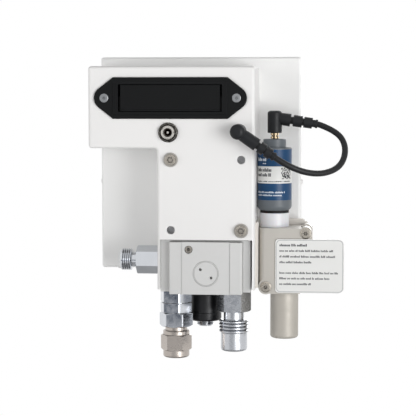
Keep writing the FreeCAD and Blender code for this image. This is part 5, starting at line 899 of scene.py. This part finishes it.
class GASBLENDER_OT_front_print(bpy.types.Operator):
    """Prints the dial's scale, the knob's pointer, the keys' signs and the display's blank figures"""
    bl_idname = "gasblender.front_print"
    bl_label = "Front print"

    def execute(self, context):
        pale = made_material("screen_printed_pale_ink")
        formed("dial_scale", self.scale, "case", pale)
        formed("knob_pointer", self.pointer, "knob", pale)
        formed("key_signs", self.signs, "case", made_material("screen_printed_dark_ink"))
        # Liquid crystal that is off: its bars show only as a slightly darker, glassy grey.
        crystal = surface("unlit_liquid_crystal", linear("#39444A"), linear("#333D42"), 6,
                          (0.1, 0.2), 0.6, 0.002)
        formed("display_figures", self.display, "case", crystal)
        return {"FINISHED"}

    def scale(self, shape):
        """A mark for each whole number, longer at each fifth and tenth, and the tenths' figures."""
        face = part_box("dial_plate")[1][1]
        rise = Vector((0, sizes().print_height, 0))
        middle = Vector((KNOB_PLACE[0] * MM, face, KNOB_PLACE[1] * MM))
        for value in range(DIAL_FIRST, DIAL_LAST + 1):
            turn = DIAL_SWEEP * (value - DIAL_FIRST) / (DIAL_LAST - DIAL_FIRST)
            angle = math.radians(-DIAL_SWEEP / 2 + turn)
            named = value == DIAL_FIRST or value % 10 == 0
            end = MARK_ENDS[0] if named else MARK_ENDS[1] if value % 5 == 0 else MARK_ENDS[2]
            half = MARK_HALVES[0] if named else MARK_HALVES[1]
            out = Vector((-math.sin(angle), 0, math.cos(angle)))
            side = Vector((math.cos(angle), 0, math.sin(angle)))
            slab(shape, [middle + (out * r + side * w) * MM for r, w in
                         ((MARK_START, -half), (end, -half), (end, half), (MARK_START, half))], rise)
            if named:
                at = middle / MM + out * DIAL_FIGURES
                figures(shape, str(value), DIAL_FIGURE_SIZE, (at.x, at.y, at.z), DIAL_FIGURE_RISE)

    def pointer(self, shape):
        """The bar on the knob's skirt that points at the dial's first mark at rest."""
        out = Vector((1, 0, -1)).normalized()
        side = Vector((1, 0, 1)).normalized()
        middle = Vector((KNOB_PLACE[0] * MM, POINTER_Y * MM, KNOB_PLACE[1] * MM))
        start, end, half, rise = POINTER_SIZES
        slab(shape, [middle + (out * r + side * w) * MM for r, w in
                     ((start, -half), (end, -half), (end, half), (start, half))],
             Vector((0, rise * MM, 0)))

    def signs(self, shape):
        """One sign on each key: on and off, up, down, and a list."""
        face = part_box("keypad_overlay")[1][1]
        rise = Vector((0, sizes().print_height, 0))
        z = KEYS_Z * MM
        around = [2 * math.pi * k / RING_STEPS for k in range(RING_STEPS)]

        def circle(x, radius):
            return [(x + radius * math.cos(a) * MM, face, z + radius * math.sin(a) * MM)
                    for a in around]

        def outlined(x, points, lift=0, way=1):
            slab(shape, [(x + a * MM, face, z + (lift + b * way) * MM) for a, b in points], rise)

        power, up, down, menu = [(KNOB_PLACE[0] + step) * MM for step in KEY_STEPS]
        strip(shape, circle(power, POWER_RING[0]), circle(power, POWER_RING[1]), rise)
        outlined(power, POWER_BAR)
        outlined(up, ARROW)
        outlined(down, ARROW, way=-1)
        for lift in MENU_LIFTS:
            outlined(menu, MENU_BAR, lift)

    def display(self, shape):
        """Three blank figures of seven bars each, as an unlit display shows them faintly."""
        rise = Vector((0, FIGURE_RISE * MM, 0))
        half, bar = FIGURE_HALF, FIGURE_BAR
        reach = half - BAR_GAP
        for column in (1, 0, -1):
            x = KNOB_PLACE[0] + FIGURE_PITCH * column
            level = [(x, DISPLAY_Z + offset, True) for offset in (-2 * half, 0, 2 * half)]
            upright = [(x + way * half, DISPLAY_Z + offset, False)
                       for way in (-1, 1) for offset in (-half, half)]
            for cx, cz, flat in level + upright:
                points = [(-reach, 0), (-reach + bar, bar), (reach - bar, bar), (reach, 0),
                          (reach - bar, -bar), (-reach + bar, -bar)]
                if not flat:
                    points = [(b, a) for a, b in points]
                slab(shape, [((cx + a) * MM, DISPLAY_Y * MM, (cz + b) * MM) for a, b in points], rise)


# The dial's first and last number, and its sweep in degrees.
DIAL_FIRST, DIAL_LAST = 21, 100
DIAL_SWEEP = 270
# Radii in millimetres: where the marks start, and where those of tens, of fives and of ones end.
MARK_START = 32
MARK_ENDS = (35.5, 34.5, 33.5)
# Half the width of the tens' marks, and of the others.
MARK_HALVES = (0.35, 0.22)
# The radius at which the dial's figures stand, their size and their rise.
DIAL_FIGURES = 38.6
DIAL_FIGURE_SIZE = 4.6
DIAL_FIGURE_RISE = 0.12
# The pointer's first and last radius, half its width and its rise.
POINTER_SIZES = (17.8, 22.6, 1.2, 0.2)
# The keys' places beside the knob's centre, and the outlines of their signs about each key's middle.
KEY_STEPS = (30, 10, -10, -30)
RING_STEPS = 40
POWER_RING = (2.4, 1.8)
POWER_BAR = ((-0.35, 0.6), (0.35, 0.6), (0.35, 3.2), (-0.35, 3.2))
ARROW = ((-2.2, -1.3), (2.2, -1.3), (0, 2.2))
MENU_BAR = ((-2.2, -0.4), (2.2, -0.4), (2.2, 0.4), (-2.2, 0.4))
MENU_LIFTS = (-1.6, 0, 1.6)
# The display's figures: half the width, half the thickness of a bar, the gap at a bar's end, the
# step from figure to figure, and the rise.
FIGURE_HALF = 4.0
FIGURE_BAR = 1.0
BAR_GAP = 0.35
FIGURE_PITCH = 14
FIGURE_RISE = 0.08
# Places in millimetres: the knob's centre in X and Z, the keys' and the display's heights, and the
# faces that the pointer and the figures lie on.
KNOB_PLACE = (-11.7, -20.0)
KEYS_Z = 38.0
DISPLAY_Z = 76.0
POINTER_Y = 141.0
DISPLAY_Y = 114.0


class GASBLENDER_OT_stage(bpy.types.Operator):
    """Lays the floor and sets the lamps and the world"""
    bl_idname = "gasblender.stage"
    bl_label = "Stage"

    def execute(self, context):
        lowest = CAD_BOX[0][2] - sizes().floor_drop
        self.floor(context, lowest)
        self.card(context)
        for name, place, side, power, mirrored in LAMPS:
            self.lamp(context, name, place, side, power, mirrored)
        self.world(context)
        context.scene.view_settings.view_transform = "Standard"
        return {"FINISHED"}

    def floor(self, context, height):
        """A disc that keeps the part's shadow and passes into the white background round it."""
        mesh = bpy.data.meshes.new("floor")
        shape = bmesh.new()
        bmesh.ops.create_circle(shape, cap_ends=True, segments=FLOOR_STEPS, radius=FLOOR_RADIUS)
        bmesh.ops.translate(shape, verts=shape.verts, vec=(0, 0, height))
        shape.to_mesh(mesh)
        shape.free()
        floor = bpy.data.objects.new("floor", mesh)
        context.scene.collection.objects.link(floor)
        material = bpy.data.materials.new("matt_white_floor")
        material.use_nodes = True
        tree = material.node_tree
        tree.nodes.clear()
        matt = add(tree, "ShaderNodeBsdfDiffuse", inputs={"Color": rgba(linear("#F7F7F7"))})
        white = add(tree, "ShaderNodeEmission", inputs={"Color": (1, 1, 1, 1), "Strength": 1.0})
        place = add(tree, "ShaderNodeTexCoord")
        level = add(tree, "ShaderNodeVectorMath", {"operation": "MULTIPLY"}, {
            0: (place, "Object"), 1: (1, 1, 0)})
        reach = add(tree, "ShaderNodeVectorMath", {"operation": "LENGTH"}, {0: (level, "Vector")})
        away = add(tree, "ShaderNodeMapRange", {"interpolation_type": "SMOOTHSTEP"}, {
            "Value": (reach, "Value"), "From Min": FLOOR_NEAR, "From Max": FLOOR_FAR})
        path = add(tree, "ShaderNodeLightPath")
        seen = add(tree, "ShaderNodeMath", {"operation": "MAXIMUM"}, {
            0: (path, "Is Camera Ray"), 1: (path, "Is Glossy Ray")})
        bright = add(tree, "ShaderNodeMath", {"operation": "MULTIPLY"}, {
            0: (seen, "Value"), 1: (away, "Result")})
        both = add(tree, "ShaderNodeMixShader", inputs={
            0: (bright, "Value"), 1: (matt, "BSDF"), 2: (white, "Emission")})
        add(tree, "ShaderNodeOutputMaterial", inputs={"Surface": (both, "Shader")})
        mesh.materials.append(material)

    def card(self, context):
        """A dim studio wall behind the camera that only mirrors show, so that bright metal has form."""
        mesh = bpy.data.meshes.new("reflected_wall")
        shape = bmesh.new()
        low, high = REFLECTED_CARD
        corners = [(low[0], low[1], low[2]), (high[0], high[1], low[2]),
                   (high[0], high[1], high[2]), (low[0], low[1], high[2])]
        shape.faces.new([shape.verts.new(corner) for corner in corners])
        shape.to_mesh(mesh)
        shape.free()
        card = bpy.data.objects.new("reflected_wall", mesh)
        context.scene.collection.objects.link(card)
        material = bpy.data.materials.new("grey_studio_wall")
        material.use_nodes = True
        tree = material.node_tree
        tree.nodes.clear()
        glow = add(tree, "ShaderNodeEmission", inputs={
            "Color": rgba(linear("#565D69")), "Strength": 1.0})
        add(tree, "ShaderNodeOutputMaterial", inputs={"Surface": (glow, "Emission")})
        mesh.materials.append(material)
        card.visible_camera = False
        card.visible_diffuse = False
        card.visible_shadow = False
        card.visible_transmission = False

    def lamp(self, context, name, place, side, power, mirrored):
        data = bpy.data.lights.new(name, "AREA")
        data.shape = "SQUARE"
        data.size = side
        data.energy = power
        lamp = bpy.data.objects.new(name, data)
        lamp.location = place
        towards = Vector((0, 0, 0)) - Vector(place)
        lamp.rotation_euler = towards.to_track_quat("-Z", "Y").to_euler()
        lamp.visible_camera = False
        lamp.visible_glossy = mirrored
        context.scene.collection.objects.link(lamp)

    def world(self, context):
        """White to the camera, to mirrors and through glass, and dimmer as a light."""
        world = bpy.data.worlds.new("white_room")
        context.scene.world = world
        world.use_nodes = True
        tree = world.node_tree
        tree.nodes.clear()
        path = add(tree, "ShaderNodeLightPath")
        first = add(tree, "ShaderNodeMath", {"operation": "MAXIMUM"}, {
            0: (path, "Is Camera Ray"), 1: (path, "Is Glossy Ray")})
        seen = add(tree, "ShaderNodeMath", {"operation": "MAXIMUM"}, {
            0: (first, "Value"), 1: (path, "Is Transmission Ray")})
        place = add(tree, "ShaderNodeTexCoord")
        parts = add(tree, "ShaderNodeSeparateXYZ", inputs={0: (place, "Generated")})
        lit = add(tree, "ShaderNodeMapRange", inputs={
            "Value": (parts, "Z"), "From Min": WORLD_LEVEL, "From Max": WORLD_HIGH,
            "To Min": WORLD_ROUND, "To Max": WORLD_ABOVE})
        level = add(tree, "ShaderNodeMix", {"data_type": "FLOAT"}, {
            0: (seen, "Value"), 2: (lit, "Result"), 3: 1.0})
        sky = add(tree, "ShaderNodeBackground", inputs={
            "Color": (1, 1, 1, 1), "Strength": (level, 0)})
        add(tree, "ShaderNodeOutputWorld", inputs={"Surface": (sky, "Background")})


# The floor disc's radius in metres, and the steps round it.
FLOOR_RADIUS = 1.1
FLOOR_STEPS = 96
# Where the floor starts to turn white in the camera's sight, and where it is white, from the centre.
FLOOR_NEAR = 0.22
FLOOR_FAR = 0.46
# How strongly the world lights the part from overhead, and from the sides and below.
WORLD_ABOVE = 0.12
WORLD_ROUND = 0.87
# It fades between these two heights of a direction, from 0 at the horizon to 1 overhead.
WORLD_LEVEL = 0.05
WORLD_HIGH = 0.6
# Each lamp's name, place, side in metres, power in watts, and whether bright metal mirrors it.
LAMPS = (
    ("key_lamp", (1.3, -1.7, -0.05), 1.1, 23, True),
    ("fill_lamp", (-1.4, -1.6, 0.1), 1.1, 8, False),
    ("front_lamp", (0.5, 2.1, 0.7), 1.4, 20, True),
)
# Two opposite corners of the upright card that metal mirrors, in metres.
REFLECTED_CARD = ((-1.9, -2.6, -1.0), (0.1, -2.4, -0.12))


class GASBLENDER_PT_panel(bpy.types.Panel):
    """Lists the colours, the sizes and the steps"""
    bl_idname = "GASBLENDER_PT_panel"
    bl_label = "Gas blender"
    bl_space_type = "VIEW_3D"
    bl_region_type = "UI"
    bl_category = "Gas blender"

    def draw(self, context):
        layout = self.layout
        for group in (context.scene.gas_blender_colours, context.scene.gas_blender_sizes):
            for name in type(group).__annotations__:
                layout.prop(group, name)
        for step in STEPS:
            layout.operator(step.bl_idname)


STEPS = (
    GASBLENDER_OT_camera,
    GASBLENDER_OT_finishes,
    GASBLENDER_OT_cable,
    GASBLENDER_OT_plate_print,
    GASBLENDER_OT_sensor_print,
    GASBLENDER_OT_fittings,
    GASBLENDER_OT_front_print,
    GASBLENDER_OT_stage,
)
CLASSES = (GasBlenderColours, GasBlenderSizes, *STEPS, GASBLENDER_PT_panel)


def register():
    for each in CLASSES:
        bpy.utils.register_class(each)
    bpy.types.Scene.gas_blender_colours = PointerProperty(type=GasBlenderColours)
    bpy.types.Scene.gas_blender_sizes = PointerProperty(type=GasBlenderSizes)


def unregister():
    del bpy.types.Scene.gas_blender_sizes
    del bpy.types.Scene.gas_blender_colours
    for each in reversed(CLASSES):
        bpy.utils.unregister_class(each)


def main():
    register()
    for step in STEPS:
        group, name = step.bl_idname.split(".")
        getattr(getattr(bpy.ops, group), name)()
    bpy.context.view_layer.update()


if __name__ == "__main__":
    main()
